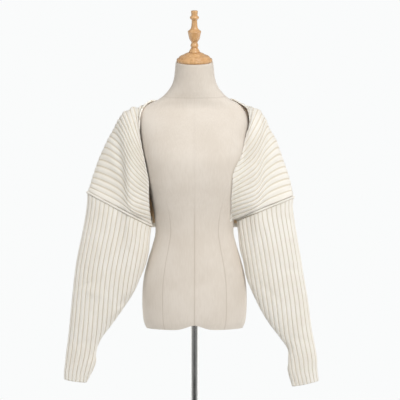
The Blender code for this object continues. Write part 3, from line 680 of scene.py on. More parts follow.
def make_wood():
    wiring = Wiring("turned_wood", Roughness=0.42, Coat_Weight=0.35, Coat_Roughness=0.22)
    turned = wiring.node(
        "Mapping", {"Vector": wiring.place(), "Rotation": (-NECK_TILT, 0, 0), "Scale": (1, 1, 0.07)}
    )
    streaks = wiring.noise(150, 5, turned.outputs[0])
    pores = wiring.noise(900, 2, turned.outputs[0])
    broad = wiring.noise(28, 2, turned.outputs[0])
    grain = wiring.tint(wiring.ramp(streaks, 0.36, 0.66), WOOD_MID, WOOD_PALE)
    grain = wiring.tint(wiring.ramp(broad, 0.55, 0.8, 0, 0.5), grain, WOOD_MID)
    grain = wiring.tint(wiring.ramp(pores, 0.6, 0.75, 0, 0.45), grain, WOOD_DEEP)
    wiring.plug(grain, wiring.shader.inputs["Base Color"])
    wiring.plug(wiring.bump(pores, 0.0002, 0.3), wiring.shader.inputs["Normal"])
    return wiring.material


wood = make_wood()
print("wood:", len(wood.node_tree.nodes), "nodes")

# %% [markdown]
# ### Cap and finial
#
# Both profiles are millimetres above the cap's own middle and from the axis. Rows that lie close together
# are the crisp edges of a bead or the bottom of a groove, and rows far apart are the long easy curves.

# %% Profiles of the turning
Turned = namedtuple("Turned", "height radius")
CAP_PROFILE = [
    Turned(-6, 50.5),
    Turned(-5.6, 52.4),
    Turned(-3.5, 54),
    Turned(0, 54.4),
    Turned(2.4, 53.6),
    Turned(3.8, 51.8),
    Turned(4.4, 50),
    Turned(4.6, 48.4),
    Turned(5.6, 47.4),
    Turned(8.2, 46.8),
    Turned(11, 43.8),
    Turned(13.2, 39.6),
    Turned(14, 37),
    Turned(14.3, 34.6),
    Turned(15.4, 33),
    Turned(18, 29.6),
    Turned(20.4, 24.6),
    Turned(22.2, 19.4),
    Turned(23, 15),
]
FINIAL_PROFILE = [
    Turned(23.3, 15.8),
    Turned(24.2, 16.8),
    Turned(26, 16.4),
    Turned(29, 14.6),
    Turned(33, 12.2),
    Turned(36.2, 10.6),
    Turned(37.2, 10.2),
    Turned(39, 11),
    Turned(43.5, 12),
    Turned(47, 11.2),
    Turned(50, 9.7),
    Turned(53, 9.4),
    Turned(56, 10.6),
    Turned(61, 14.2),
    Turned(68, 16.6),
    Turned(76, 18.2),
    Turned(83, 19.6),
    Turned(85.6, 20.3),
    Turned(87.2, 19.8),
    Turned(90, 16.4),
    Turned(95, 11.4),
    Turned(102, 9.4),
    Turned(110, 8.7),
    Turned(117, 8.2),
    Turned(120.4, 8.5),
    Turned(122.8, 10.8),
    Turned(125.4, 13.1),
    Turned(128, 13.7),
    Turned(130.4, 13.1),
    Turned(132.8, 10.7),
    Turned(134.4, 9.2),
    Turned(141, 9.7),
    Turned(146.4, 10.2),
    Turned(148.4, 9.8),
    Turned(149, 8.3),
]
print("cap:", len(CAP_PROFILE), "rows, finial:", len(FINIAL_PROFILE), "rows")

# %% [markdown]
# ### At the lathe
#
# A spline that doesn't overshoot keeps the grooves crisp and fills in the rows between them. Every row
# becomes a ring of points, and the whole stack is leaned forward about the cap's middle.

# %% Turn the cap and the finial
TURNED_SIDES = 96
TURNED_STEPS = 4  # rows between two rows of a profile


def build_turned(name, profile, node):
    table = np.array(profile, dtype=float)
    along = lengths_along(np.column_stack([table, np.zeros(len(table))]))
    stretches = [np.linspace(a, b, TURNED_STEPS, endpoint=False) for a, b in zip(along, along[1:])]
    fine = np.append(np.concatenate(stretches), along[-1])
    rows = spline(along, table, fine, overshoot=False) * MM
    angles = np.linspace(0, 2 * math.pi, TURNED_SIDES, endpoint=False)
    rings = [flat_ring(radius, height, angles) for height, radius in rows]
    lean = np.array(Matrix.Rotation(NECK_TILT, 3, "X"))
    points = np.concatenate(rings) @ lean.T + np.array(NECK_CAP_CENTRE)
    piece = add_piece(name, points, tube_faces(len(rings), TURNED_SIDES), wood, 40)
    seat(piece, "turned_wood", node)


build_turned("wooden_cap", CAP_PROFILE, "neck_cap")
build_turned("wooden_finial", FINIAL_PROFILE, "finial")

# %% [markdown]
# ## Steel
#
# The pole is a polished tube. A mirror shows what stands round it, so its dark middle is the black cloth
# in front and its bright edges are the white card. The base plate is the same steel, brushed in rings:
# noise along the radius alone makes them. A slower noise varies the roughness, as handling does.

# %% Steel
BRUSH_RINGS = 900.0  # per metre of radius
HANDLED = 0.12  # how much rougher the most handled spots are


def make_steel(name, colour, roughness, ring_depth):
    wiring = Wiring(name, Metallic=1.0)
    wiring.shader.inputs["Base Color"].default_value = (*colour, 1)
    place = wiring.place()
    x, y, _ = wiring.node("SeparateXYZ", {0: place}).outputs
    square = wiring.math("ADD", wiring.math("POWER", x, 2.0), wiring.math("POWER", y, 2.0))
    outwards = wiring.math("MULTIPLY", wiring.math("SQRT", square), BRUSH_RINGS)
    rings = wiring.noise(1.0, 4, wiring.node("CombineXYZ", {0: outwards}).outputs[0])
    wear = wiring.noise(22, 4, place)
    rough = wiring.ramp(wear, 0.3, 0.8, roughness, roughness + HANDLED)
    wiring.plug(rough, wiring.shader.inputs["Roughness"])
    wiring.plug(wiring.bump(rings, ring_depth, 0.4), wiring.shader.inputs["Normal"])
    return wiring.material


polished = make_steel("polished_steel", (0.50, 0.50, 0.49), 0.16, 0.00001)
brushed = make_steel("brushed_steel", (0.55, 0.55, 0.54), 0.3, 0.0001)
print("steel:", polished.name, "and", brushed.name)

# %% [markdown]
# ### Pole and base plate
#
# Their edges are broken, because a truly sharp edge catches no light. The photograph's lower edge hides
# the plate, so it is a plain round one with a recess that the pole stands in.

# %% Pole and base disc
BREAK = 0.6 * MM
POLE_SIDES = 64
PLATE_SIDES = 160
PLATE_EDGE = 2 * MM
PLATE_RINGS = (0.6, 0.25)  # of its radius: rings that keep the flat top's faces small
RECESS_FLOOR = 4 * MM


def build_spun(name, profile, sides, material, slot, node):
    """A piece spun round the stand's upright axis, from (radius, height) pairs."""
    angles = np.linspace(0, 2 * math.pi, sides, endpoint=False)
    rings = [flat_ring(radius, height, angles) for radius, height in profile]
    piece = add_piece(name, np.concatenate(rings), tube_faces(len(rings), sides), material, 35)
    seat(piece, slot, node)


pole_low, pole_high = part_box("pole")
_, plate_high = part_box("base_plate")
pole_profile = [
    (POLE_RADIUS - BREAK, pole_low.z),
    (POLE_RADIUS, pole_low.z + BREAK),
    (POLE_RADIUS, pole_high.z - BREAK),
    (POLE_RADIUS - BREAK, pole_high.z),
]
build_spun("pole_tube", pole_profile, POLE_SIDES, polished, "steel", "pole")

plate_radius, plate_top = plate_high.x, plate_high.z
inner_radius = plate_radius - PLATE_EDGE
plate_profile = [(inner_radius, 0), (plate_radius, PLATE_EDGE)]
for turn in np.radians(np.linspace(0, 90, 5)):
    rise = plate_top - PLATE_EDGE + PLATE_EDGE * math.sin(turn)
    plate_profile.append((inner_radius + PLATE_EDGE * math.cos(turn), rise))
plate_profile += [(share * plate_radius, plate_top) for share in PLATE_RINGS]
plate_profile += [(POLE_RADIUS + 2 * GAP, height) for height in (plate_top, RECESS_FLOOR)]
build_spun("base_disc", plate_profile, PLATE_SIDES, brushed, "steel", "base_plate")

# %% [markdown]
# ## The knit
#
# Chunky rib is columns of knit stitches with a column of purl between them. The knit columns stand up as
# a broad flat rib and the purl sinks to a narrow valley. The ribs are real geometry below. The stitches
# on them, tens of thousands, are bump: each face knows from its UVs how many ribs across and how many
# courses down it lies, and a slanted wave on that grid draws the V of each stitch. The purl in the valley
# gets less light, and its colour is darkened too, as is the colour between two stitches: painted shade.
# The inside, which little light reaches, gets a warmer, darker colour, which is painted shade as well: a
# number called "inside" on each point says how much.

# %% Knit material
IVORY = (0.925, 0.90, 0.845)
IVORY_SHADE = (0.885, 0.85, 0.78)
# painted shade: the darker colour that the valleys between ribs and the gaps between stitches are tinted
# towards
PAINTED_VALLEY_SHADE = (0.72, 0.655, 0.545)
# painted shade: the warmer, darker colour given to the cloth's inner face, where light arrives only after
# bouncing off cream cloth
INSIDE_PAINTED_SHADE = (0.70, 0.52, 0.33)
COURSE = 4.4 * MM  # height of one stitch
WALES = 3.0  # columns of knit stitches on a rib
PAINTED_SHADE_BETWEEN_STITCHES = 0.16  # how strongly the gaps between two stitches are tinted with the valley's painted shade


def make_knit(name):
    wiring = Wiring(name, Roughness=0.95, Sheen_Weight=0.22, Sheen_Roughness=0.45)
    u, v, _ = wiring.node("SeparateXYZ", {0: wiring.node("UVMap", uv_map="knit").outputs[0]}).outputs
    across = wiring.math("FRACT", wiring.math("ADD", u, 0.5))
    from_valley = wiring.math("ABSOLUTE", wiring.math("SUBTRACT", across, 0.5))
    on_rib = wiring.ramp(from_valley, 0.02, 0.14)
    wale = wiring.math("FRACT", wiring.math("MULTIPLY_ADD", u, WALES, 0.5))
    side = wiring.math("ABSOLUTE", wiring.math("SUBTRACT", wale, 0.5))
    edge = wiring.math("ABSOLUTE", wiring.math("MULTIPLY_ADD", side, 4.0, -1.0))
    leg = wiring.math("POWER", wiring.math("MAXIMUM", wiring.math("SUBTRACT", 1.0, edge), 0.0), 0.6)
    slant = wiring.math("MULTIPLY", wiring.math("MULTIPLY_ADD", side, 1.1, v), math.pi)
    lobe = wiring.math("ABSOLUTE", wiring.math("SINE", slant))
    stitch = wiring.math("MULTIPLY", leg, wiring.math("MULTIPLY_ADD", lobe, 0.6, 0.4))
    place = wiring.place()
    fibre = wiring.noise(1500, 3, place)
    cloud = wiring.noise(14, 3, place)
    colour = wiring.tint(wiring.ramp(cloud, 0.3, 0.7), IVORY_SHADE, IVORY)
    # painted shade between two stitches, where a stitch's height is low
    sunk = wiring.math("MULTIPLY", wiring.math("SUBTRACT", 1.0, stitch), PAINTED_SHADE_BETWEEN_STITCHES)
    colour = wiring.tint(sunk, colour, PAINTED_VALLEY_SHADE)
    # painted shade down the valley between two ribs
    colour = wiring.tint(wiring.math("SUBTRACT", 1.0, on_rib), colour, PAINTED_VALLEY_SHADE)
    # the inner face is tinted with the painted inside shade, as much as its "inside" number says
    inside = wiring.node("Attribute", attribute_name="inside").outputs["Fac"]
    colour = wiring.tint(inside, colour, INSIDE_PAINTED_SHADE)
    wiring.plug(colour, wiring.shader.inputs["Base Color"])
    fuzz = wiring.bump(fibre, 0.0004, 0.5)
    wiring.plug(wiring.bump(stitch, 0.0011, 0.7, fuzz), wiring.shader.inputs["Normal"])
    return wiring.material


rib_knit = make_knit("ivory_rib_knit")
print("knit:", len(rib_knit.node_tree.nodes), "nodes, a stitch every", round(COURSE / MM, 1), "mm")

# %% [markdown]
# ## A rib's shape
#
# Across one rib the outer face has six points: three up the side of the rib and three down, close
# together in the valley and wide apart on the flat top. The inner face is plain, as the inside of thick
# rib nearly is, so it needs only every third column.

# %% Rib profile
ACROSS_RIB = (0.0, 0.09, 0.22, 0.5, 0.78, 0.91)
INNER_STRIDE = 3
WALL = 1.2 * MM
RIB_HEIGHT = 2.4 * MM
RIB_FLATNESS = 5  # the power that keeps a rib's top flat and its sides steep
CLOTH = 3.6 * MM  # from the plain inside to a rib's top, as the solids have it


def rib_positions(first, last):
    """Where the columns lie, counted in ribs. A whole number is a valley."""
    whole = np.arange(first, last)
    return np.append((whole[:, None] + np.array(ACROSS_RIB)).ravel(), last).astype(float)


def rib_rise(positions):
    """0 in a valley, 1 on a rib's flat top."""
    across = np.abs(2 * (positions - np.floor(positions)) - 1)
    return 1 - across**RIB_FLATNESS


rises = RIB_HEIGHT / MM * rib_rise(rib_positions(0, 1))
print("across one rib the outer face rises", rises.round(2).tolist(), "mm")

# %% [markdown]
# ### The wall that the ribs are raised on
#
# Cloth this thick has a rim that shows at every edge, so it is a true wall and not a sheet with a
# thickness modifier. The function below joins an outer and an inner grid and the rims between them into
# one closed wall without a gap, whether the wall is a rectangle or a tube.

# %% Wall of cloth
KNIT_SHARP = 80  # degrees: only the rims of the cloth are sharp


def wall_faces(columns, rows, stride, closed):
    """Faces over grids of points, the outer first. The inner one has one column for every stride."""
    inner_columns = columns // stride if closed else (columns - 1) // stride + 1
    spans = columns if closed else columns - 1
    first_inner = columns * rows

    def outer(column, row):
        return column % columns * rows + row

    def inner(column, row):
        return first_inner + column // stride % inner_columns * rows + row

    faces = []
    for column in range(spans):
        for row in range(rows - 1):
            near = (outer(column, row), outer(column + 1, row))
            faces.append(near + (outer(column + 1, row + 1), outer(column, row + 1)))
    for column in range(0, spans, stride):
        following = column + stride
        for row in range(rows - 1):
            near = (inner(column, row + 1), inner(following, row + 1))
            faces.append(near + (inner(following, row), inner(column, row)))
        for row in (0, rows - 1):
            rim = [outer(column + step, row) for step in range(stride + 1)]
            rim += [inner(following, row), inner(column, row)]
            faces.append(tuple(rim if row else rim[::-1]))
    if not closed:
        for column in (0, columns - 1):
            for row in range(rows - 1):
                near = (outer(column, row), outer(column, row + 1))
                end = near + (inner(column, row + 1), inner(column, row))
                faces.append(end if column == 0 else end[::-1])
    return faces


print("a wall of one rib and 10 rows has", len(wall_faces(7, 10, INNER_STRIDE, False)), "faces")

# %% [markdown]
# ## Where the body panel lies
#
# The cardigan's back and fronts are one knitted rectangle. Its ribs start at the front edge, climb over
# the shoulder and run down the back to the hem, fanning from nearly upright beside the neck to nearly
# level above the armhole seam. Each row of the tables is one rib, with the points where it meets the
# front edge, the two sides of the soft fold down the front, and the outline of the shoulder.

# %% Tables of the body panel
FrontRib = namedtuple("FrontRib", "rib edge inner outer top")
RIGHT_FRONT = [
    FrontRib(1, (161, 1352), (158, 1359), (154, 1367), (149.5, 1374)),
    FrontRib(2, (167, 1313), (168, 1332), (165, 1351), (161.5, 1369)),
    FrontRib(4, (162, 1251), (169, 1287), (177, 1323), (188, 1358)),
    FrontRib(6, (152.5, 1202), (175.5, 1253), (196, 1304), (213.5, 1344)),
    FrontRib(8, (145, 1168), (185.5, 1234), (210.5, 1286), (232, 1320)),
    FrontRib(12, (136, 1115), (193, 1177), (224, 1231), (261, 1264)),
    FrontRib(16, (136.5, 1072), (193, 1106), (224, 1158), (294.5, 1192)),
    FrontRib(20, (132.5, 1020), (192.5, 1045), (224, 1078), (318.5, 1122)),
]
LEFT_FRONT = [
    FrontRib(1, (146, 1364), (141.5, 1368), (136.5, 1371.5), (131.5, 1374.5)),
    FrontRib(2, (163.5, 1344), (158, 1354), (150.5, 1363), (143.5, 1371)),
    FrontRib(4, (165.5, 1302), (170.5, 1320), (173.5, 1341), (169.5, 1362)),
    FrontRib(6, (154, 1258), (167, 1285), (181, 1316), (197, 1349)),
    FrontRib(8, (143.5, 1206), (172.5, 1243), (199, 1287), (216, 1323)),
    FrontRib(12, (118.5, 1130), (184.5, 1185), (214, 1234), (244, 1265)),
    FrontRib(16, (114.5, 1082), (188.5, 1118), (218, 1159), (272.5, 1189)),
    FrontRib(20, (117, 1037), (187, 1060), (222.5, 1090), (296, 1116)),
]
RibDepth = namedtuple("RibDepth", "rib edge inner outer top")
RIB_DEPTHS = [
    RibDepth(1, -18, -10, -1, 8),
    RibDepth(2, -40, -30, -12, 8),
    RibDepth(4, -47, -46, -32, 6),
    RibDepth(6, -56, -58, -43, 3),
    RibDepth(8, -64, -67, -48, 0),
    RibDepth(12, -66, -75, -53, -4),
    RibDepth(16, -56, -79, -58, -6),
    RibDepth(20, -36, -78, -61, -8),
]
BackRib = namedtuple("BackRib", "rib shoulder upper lower hem follows_underarm")
BACK_RIBS = [
    BackRib(-9, (0, 97, 1318), (0, 110, 1252), (0, 119, 1110), (0, 118, 983), 0),
    BackRib(-6, (45, 94, 1320), (38, 109, 1252), (31, 119, 1110), (27, 118, 983), 0),
    BackRib(-3, (88, 81, 1328), (80, 99, 1258), (62, 118, 1110), (53, 119, 983), 0),
    BackRib(0, (131, 58, 1337), (122, 84, 1266), (94, 116, 1110), (79, 119, 983), 0),
    BackRib(1, (145, 53, 1339), (135, 80, 1267), (103, 115, 1110), (88, 119, 983), 0),
    BackRib(2, (158, 48, 1340), (148, 76, 1268), (112, 114, 1110), (96, 119, 983), 0),
    BackRib(4, None, (171, 68, 1265), (131, 112, 1108), (113, 118, 983), 0),
    BackRib(6, None, (191, 66, 1248), (149, 112, 1100), (130, 116, 983), 0),
    BackRib(8, None, (206, 66, 1226), (167, 112, 1090), (147, 113, 983), 0),
    BackRib(12, None, (236, 63, 1170), (196, 105, 1066), (168, 98, 988), 0),
    BackRib(16, None, (256, 60, 1118), (205, 90, 1050), (141, 66, 1004), 0.5),
    BackRib(20, None, (262, 49, 1082), (190, 60, 1040), (129, 18, 1016), 1),
]
NeckEdge = namedtuple("NeckEdge", "rib x y z")
NECK_EDGE = [
    NeckEdge(-9, 0, 73, 1362),
    NeckEdge(-6, 50, 67, 1364),
    NeckEdge(-3, 97, 45, 1371),
    NeckEdge(0, 136, 8, 1379),
]
LEFT_SHOULDER_SCALE = 0.88
RIBS_BEHIND_NECK = 9
HALF_RIBS = 31
print("panel:", 2 * HALF_RIBS, "ribs, of which", 2 * RIBS_BEHIND_NECK, "start behind the neck")

# %% [markdown]
# ## Where the sleeves lie
#
# A sleeve hangs nearly flat, front against back with air between them, so a section is a narrow closed
# loop from the outer fold to the underarm line. Each row gives those two points, how far forward the
# loop's middle lies and how deep the loop is. Near the armhole the front fold of the body goes on into
# the sleeve as a ridge.

# %% Tables of the sleeves
SleeveRing = namedtuple("SleeveRing", "fold underarm middle_y depth ridge")
RIGHT_SLEEVE = [
    SleeveRing((325.5, 1093), (129.5, 990), -12, 90, 18),
    SleeveRing((326.5, 1062), (133.5, 959), -16, 90, 14),
    SleeveRing((333.5, 1008), (137, 917), -21, 88, 6),
    SleeveRing((345, 948), (146, 875), -27, 85, 0),
    SleeveRing((357, 887), (159, 842), -31, 80, 0),
    SleeveRing((365, 827), (183, 788), -35, 74, 0),
    SleeveRing((371, 767), (213, 742), -38, 67, 0),
    SleeveRing((376, 710), (250, 690), -41, 60, 0),
    SleeveRing((381, 660), (282, 646), -43, 54, 0),
    SleeveRing((386.5, 616), (294.5, 610), -45, 50, 0),
    SleeveRing((390.5, 580), (296, 577), -46, 49, 0),
    SleeveRing((393.5, 550), (310, 544), -47, 46, 0),
    SleeveRing((393.5, 529), (324, 519), -48, 44, 0),
]
LEFT_SLEEVE = [
    SleeveRing((301.5, 1078), (127, 1010), -14, 90, 16),
    SleeveRing((299.5, 1048), (131.5, 971), -17, 90, 12),
    SleeveRing((305, 1002), (136.5, 923), -21, 88, 5),
    SleeveRing((314.5, 942), (148, 878), -27, 85, 0),
    SleeveRing((325, 881), (157.5, 830), -31, 80, 0),
    SleeveRing((333.5, 827), (177, 782), -35, 74, 0),
    SleeveRing((342.5, 773), (201, 733), -38, 67, 0),
    SleeveRing((349, 722), (228, 690), -41, 60, 0),
    SleeveRing((355.5, 674), (259, 650), -43, 54, 0),
    SleeveRing((365, 626), (280.5, 616), -45, 50, 0),
    SleeveRing((370, 592), (281.5, 589), -46, 49, 0),
    SleeveRing((371, 560), (280, 555), -47, 46, 0),
    SleeveRing((375.5, 525), (293, 507), -48, 44, 0),
]
RIDGE_AT = 0.66
RIDGE_WIDTH = 0.11
LOOP_SAMPLES = 288


def section_loop(row, side):
    """A sleeve's section as a loop: outer fold, front, underarm line, back. side is -1 at -X."""
    fold = np.array([side * row[0], row[4], row[1]])
    underarm = np.array([side * row[2], row[4], row[3]])
    turn = np.linspace(0, 2 * math.pi, LOOP_SAMPLES + 1)
    loop = (fold + underarm) / 2 + np.outer(np.cos(turn), (fold - underarm) / 2)
    loop[:, 1] -= row[5] / 2 * np.sin(turn)
    share = (1 - np.cos(turn)) / 2
    ridge = np.exp(-(((share - RIDGE_AT) / RIDGE_WIDTH) ** 2))
    loop[:, 1] -= np.where(turn < math.pi, row[6] * ridge, 0)
    return loop


def sleeve_numbers(table):
    rows = [(*row.fold, *row.underarm, row.middle_y, row.depth, row.ridge) for row in table]
    return np.array(rows) * MM


def armhole_loop(table, side):
    return section_loop(sleeve_numbers(table)[0], side)


for side, table in ((-1, RIGHT_SLEEVE), (1, LEFT_SLEEVE)):
    print("armhole at x", side, "is", round(lengths_along(armhole_loop(table, side))[-1], 3), "m round")

# %% [markdown]
# ## Creases
#
# Knit this thick doesn't crease sharply. It sinks into soft troughs where it is slack and stands up in
# soft ridges where it is pushed, each a hand or less in length and never two alike. Every crease here is
# given one by one: where its middle lies, which way it runs, and how long, wide and deep it is. A trough
# has a negative depth.

# %% Crease helper
Crease = namedtuple("Crease", "face x z heading length width depth")
TURNS_AWAY = (-0.1, 0.35)  # a crease fades out where the cloth turns away from its face


def crease_lift(points, normals, creases):
    """How far each point moves along its outward direction. face is front or back."""
    lift = np.zeros(points.shape[:-1])
    for crease in creases:
        facing = -1 if crease.face == "front" else 1
        weight = soft_step(*TURNS_AWAY, facing * normals[..., 1])
        heading = math.radians(crease.heading)
        dx = points[..., 0] / MM - crease.x
        dz = points[..., 2] / MM - crease.z
        along = dx * math.cos(heading) + dz * math.sin(heading)
        across = -dx * math.sin(heading) + dz * math.cos(heading)
        bell = np.exp(-((2 * along / crease.length) ** 2) - (across / crease.width) ** 2)
        lift += crease.depth * MM * weight * bell
    return lift


trough = Crease("front", 0, 0, 90, 100, 12, -4)
middle_lift = crease_lift(np.zeros((1, 3)), np.array([[0.0, -1.0, 0.0]]), [trough])[0]
print("a trough's middle sinks", round(-middle_lift / MM, 1), "mm")

# %% [markdown]
# ## Knitting the body panel
#
# A spline along each rib's few points gives as many rows as the surface needs. They lie close together at
# the free edges, where the cloth is rounded. The left armhole hangs a little higher and nearer than the
# right one, so the ribs that end beside it follow it.

# %% Ribs of the body panel
EDGE_SHARES = (0, 0.0016, 0.0042, 0.008)
MAIN_SPAN = (0.014, 0.986)
MAIN_ROWS = 140
ROW_SHARES = np.concatenate(
    [EDGE_SHARES, np.linspace(*MAIN_SPAN, MAIN_ROWS), 1 - np.array(EDGE_SHARES)[::-1]]
)


def mirrored(point, side):
    return np.array([side * point[0], point[1], point[2]]) * MM


def back_controls(row, side, sleeve_table):
    underarm = np.array(sleeve_table[0].underarm) - np.array(RIGHT_SLEEVE[0].underarm)
    follow = np.array([side * underarm[0], 0, underarm[1]]) * MM * row.follows_underarm
    controls = []
    if row.shoulder:
        narrow = LEFT_SHOULDER_SCALE if side > 0 else 1
        x, y, z = row.shoulder
        controls.append(mirrored((x * narrow, y, z), side))
    controls.append(mirrored(row.upper, side))
    controls.append(mirrored(row.lower, side) + follow)
    controls.append(mirrored(row.hem, side) + follow)
    return controls


neck_point = mirrored(NECK_EDGE[0][1:], -1)
centre_back = spread([neck_point] + back_controls(BACK_RIBS[0], -1, RIGHT_SLEEVE), ROW_SHARES)
print("the centre back is", round(lengths_along(centre_back)[-1], 3), "m long, as worn")

# %% [markdown]
# ### From ribs to a grid
#
# Rib lies beside rib from one armhole over the back to the other. A second spline, from line to line,
# gives the columns between them, and the grid is the cloth's smooth outer face. The last line of each
# half is the armhole itself, walked from the front corner at the underarm over the shoulder to the back
# one.

# %% Grid of the body panel
UNDERARM_NOTCH = 3 * MM
SEAM_RADIUS = 4 * MM
SEAM_SINK = 1.2 * MM
PANEL_END = 0.3 * MM


def half_panel(fronts, side, sleeves):
    """Ribs of one half with their places, from the centre back to the armhole."""
    backs = {row.rib: row for row in BACK_RIBS}
    depths = {row.rib: row for row in RIB_DEPTHS}
    narrow = LEFT_SHOULDER_SCALE if side > 0 else 1
    lines = []
    for row in NECK_EDGE:
        start = mirrored((row.x * narrow, row.y, row.z), side)
        controls = [start] + back_controls(backs[row.rib], side, sleeves)
        lines.append((row.rib + RIBS_BEHIND_NECK, spread(controls, ROW_SHARES)))
    for row in fronts:
        depth = depths[row.rib]
        spots = [(getattr(row, f)[0], getattr(depth, f), getattr(row, f)[1]) for f in row._fields[1:]]
        controls = [mirrored(spot, side) for spot in spots]
        controls += back_controls(backs[row.rib], side, sleeves)
        lines.append((row.rib + RIBS_BEHIND_NECK, spread(controls, ROW_SHARES)))
    end = armhole_end(sleeves, side)
    run = unit(np.gradient(end, axis=0))
    towards = unit(end - lines[-1][1])
    towards = unit(towards - run * (towards * run).sum(axis=1, keepdims=True))
    lines.append((HALF_RIBS, end - towards * (SEAM_RADIUS + PANEL_END)))
    return lines


def armhole_end(sleeves, side):
    """The panel's end, from its front corner at the underarm round the armhole to its back corner."""
    loop = armhole_loop(sleeves, side)
    half_way = LOOP_SAMPLES // 2
    around = np.concatenate([loop[half_way:0:-1], loop[0:1], loop[-2 : half_way - 1 : -1]])
    total = lengths_along(around)[-1]
    return read_line(around, UNDERARM_NOTCH + ROW_SHARES * (total - 2 * UNDERARM_NOTCH))


def panel_grid(positions):
    right = half_panel(RIGHT_FRONT, -1, RIGHT_SLEEVE)
    left = half_panel(LEFT_FRONT, 1, LEFT_SLEEVE)
    lines = [(-place, line) for place, line in reversed(right)] + left[1:]
    knots = [place for place, _ in lines]
    return spline(knots, np.stack([line for _, line in lines]), positions, overshoot=False)


print("panel grid:", len(rib_positions(-HALF_RIBS, HALF_RIBS)), "columns by", len(ROW_SHARES), "rows")

# %% [markdown]
# ### Creases of the body panel
#
# The fronts are pushed up where the sleeves pull on them, so their troughs and ridges point from the
# armhole to the shoulder. The back has like ones, and two faint ones where it hangs free of the form. The
# one broad ridge makes the left front's lower corner bulge beside the waist.

# %% Table of the panel's creases
PANEL_CREASES = [
    Crease("front", -226, 1190, 97, 200, 13, -5),
    Crease("front", -186, 1160, 92, 190, 14, 3),
    Crease("front", -243, 1130, 115, 120, 16, -3),
    Crease("front", -170, 1085, 60, 90, 14, -2.5),
    Crease("front", 126, 1045, 88, 210, 44, 16),
    Crease("front", 212, 1165, 84, 150, 12, -3.5),
    Crease("front", 178, 1130, 86, 150, 14, 2),
    Crease("front", 250, 1150, 70, 110, 15, -2),
    Crease("back", -205, 1170, 100, 190, 17, -6),
    Crease("back", -168, 1120, 104, 160, 15, 4),
    Crease("back", 196, 1160, 80, 180, 16, -5),
    Crease("back", 160, 1110, 78, 150, 16, 3.5),
    Crease("back", -70, 1060, 94, 130, 18, -2.5),
    Crease("back", 62, 1090, 88, 150, 20, -3),
]
print("panel:", len(PANEL_CREASES), "creases")

# %% [markdown]
# ### Easing the grid
#
# Where the ribs fan out over the shoulder, a spline leaves kinks. A few rounds of averaging ease them out
# of the grid, but not at its edges, which stay where they were measured. The outward directions are
# averaged many more times. The cloth's inner and outer face lie along them, and where neighbouring
# directions differ too much the two faces would cross.

# %% Easing helpers
WEARER_MIDDLE = np.array([0, 20, 1150]) * MM
EASE_PASSES = 12
FACING_PASSES = 80
EASED_FROM = (3, 10)  # rows or columns from an edge


def grid_normals(surface, middle):
    normals = unit(np.cross(np.gradient(surface, axis=0), np.gradient(surface, axis=1)))
    return normals if (normals * (surface - middle)).sum() > 0 else -normals


def blurred(values, passes):
    for _ in range(passes):
        padded = np.pad(values, 1, mode="edge")
        beside = padded[:-2, 1:-1] + padded[2:, 1:-1] + padded[1:-1, :-2] + padded[1:-1, 2:]
        values = (beside + 2 * values) / 6
    return values


def eased(vectors, passes):
    """A grid of vectors, averaged with its neighbours."""
    return np.stack([blurred(vectors[..., axis], passes) for axis in range(3)], axis=-1)


def ease_surface(surface):
    columns, rows = surface.shape[:2]
    column, row = np.arange(columns), np.arange(rows)
    inside = soft_step(*EASED_FROM, np.minimum(column, columns - 1 - column))[:, None]
    inside = inside * soft_step(*EASED_FROM, np.minimum(row, rows - 1 - row))[None, :]
    return surface + (eased(surface, EASE_PASSES) - surface) * inside[..., None]


def facing_out(surface):
    return unit(eased(grid_normals(surface, WEARER_MIDDLE), FACING_PASSES))


print("rounds of averaging:", EASE_PASSES, "for the grid,", FACING_PASSES, "for its directions")

# %% [markdown]
# ### Laying the cloth on the form
#
# Simulated cloth could do this, but it would lose the ribs' measured lines. Instead the inner face is
# brought down on to the shoulders, where its weight hangs, and pushed out wherever it would cut into the
# form. Each push is spread over its neighbours, so that it lifts the cloth softly.

# %% Helpers that lay it on the form
HUG_HEIGHT = (1215 * MM, 1275 * MM)  # the cloth hugs the form above these heights
HUG_HALF_WIDTH = (160 * MM, 186 * MM)  # nearer the middle than this
HUG_FRONT = (-30 * MM, -8 * MM)  # further back than this
HUG_REACH = (6 * MM, 32 * MM)  # and where it isn't further off than this
HUG_PASSES = 20
CLEARANCE = 0.8 * MM
LIFT_ROUNDS = 5
LIFT_PASSES = 12
CLOSE_ENOUGH = 0.2 * MM


def heights_over(tree, points):
    """Distance of each point from the form, negative inside it."""
    heights = np.empty(points.shape[:-1])
    for spot in np.ndindex(heights.shape):
        point = Vector(points[spot])
        place, normal, _, distance = tree.find_nearest(point)
        heights[spot] = math.copysign(distance, (point - place).dot(normal))
    return heights


def lay_on_form(inner, outward, tree):
    """The inner face, brought down to the form's shoulders and kept clear of the form all over."""
    heights = heights_over(tree, inner)
    hug = soft_step(*HUG_HEIGHT, inner[..., 2]) * soft_step(*HUG_FRONT, inner[..., 1])
    hug *= 1 - soft_step(*HUG_HALF_WIDTH, np.abs(inner[..., 0]))
    hug *= 1 - soft_step(*HUG_REACH, heights)
    lift = blurred(-np.maximum(heights - CLEARANCE, 0) * hug, HUG_PASSES)
    for _ in range(LIFT_ROUNDS):
        missing = np.maximum(CLEARANCE - heights_over(tree, inner + outward * lift[..., None]), 0)
        lift += np.maximum(missing, blurred(missing, LIFT_PASSES))
        if missing.max() < CLOSE_ENOUGH:
            break
    inner = inner + outward * lift[..., None]
    for spot in np.argwhere(heights_over(tree, inner) < CLEARANCE):
        spot = tuple(spot)
        place, normal, _, _ = tree.find_nearest(Vector(inner[spot]))
        inner[spot] = place + normal * CLEARANCE
    return inner


print("the inside keeps", round(CLEARANCE / MM, 1), "mm off the linen")

# %% [markdown]
# ### Free edges
#
# The cloth's free edges are rounded and roll outwards a little. Because the ribs stand further out than
# the purl between them, the edge is finely scalloped: the purl of its first rows draws back.

# %% Edge helper
EDGE_THICKNESS = (0.25, 0.72, 0.93, 1.0)  # of the cloth, at each of the first rows
EDGE_ROLL = 2.4 * MM
SCALLOP = (0.9, 0.5)  # how far the purl of the first two rows draws back, of the way to the third


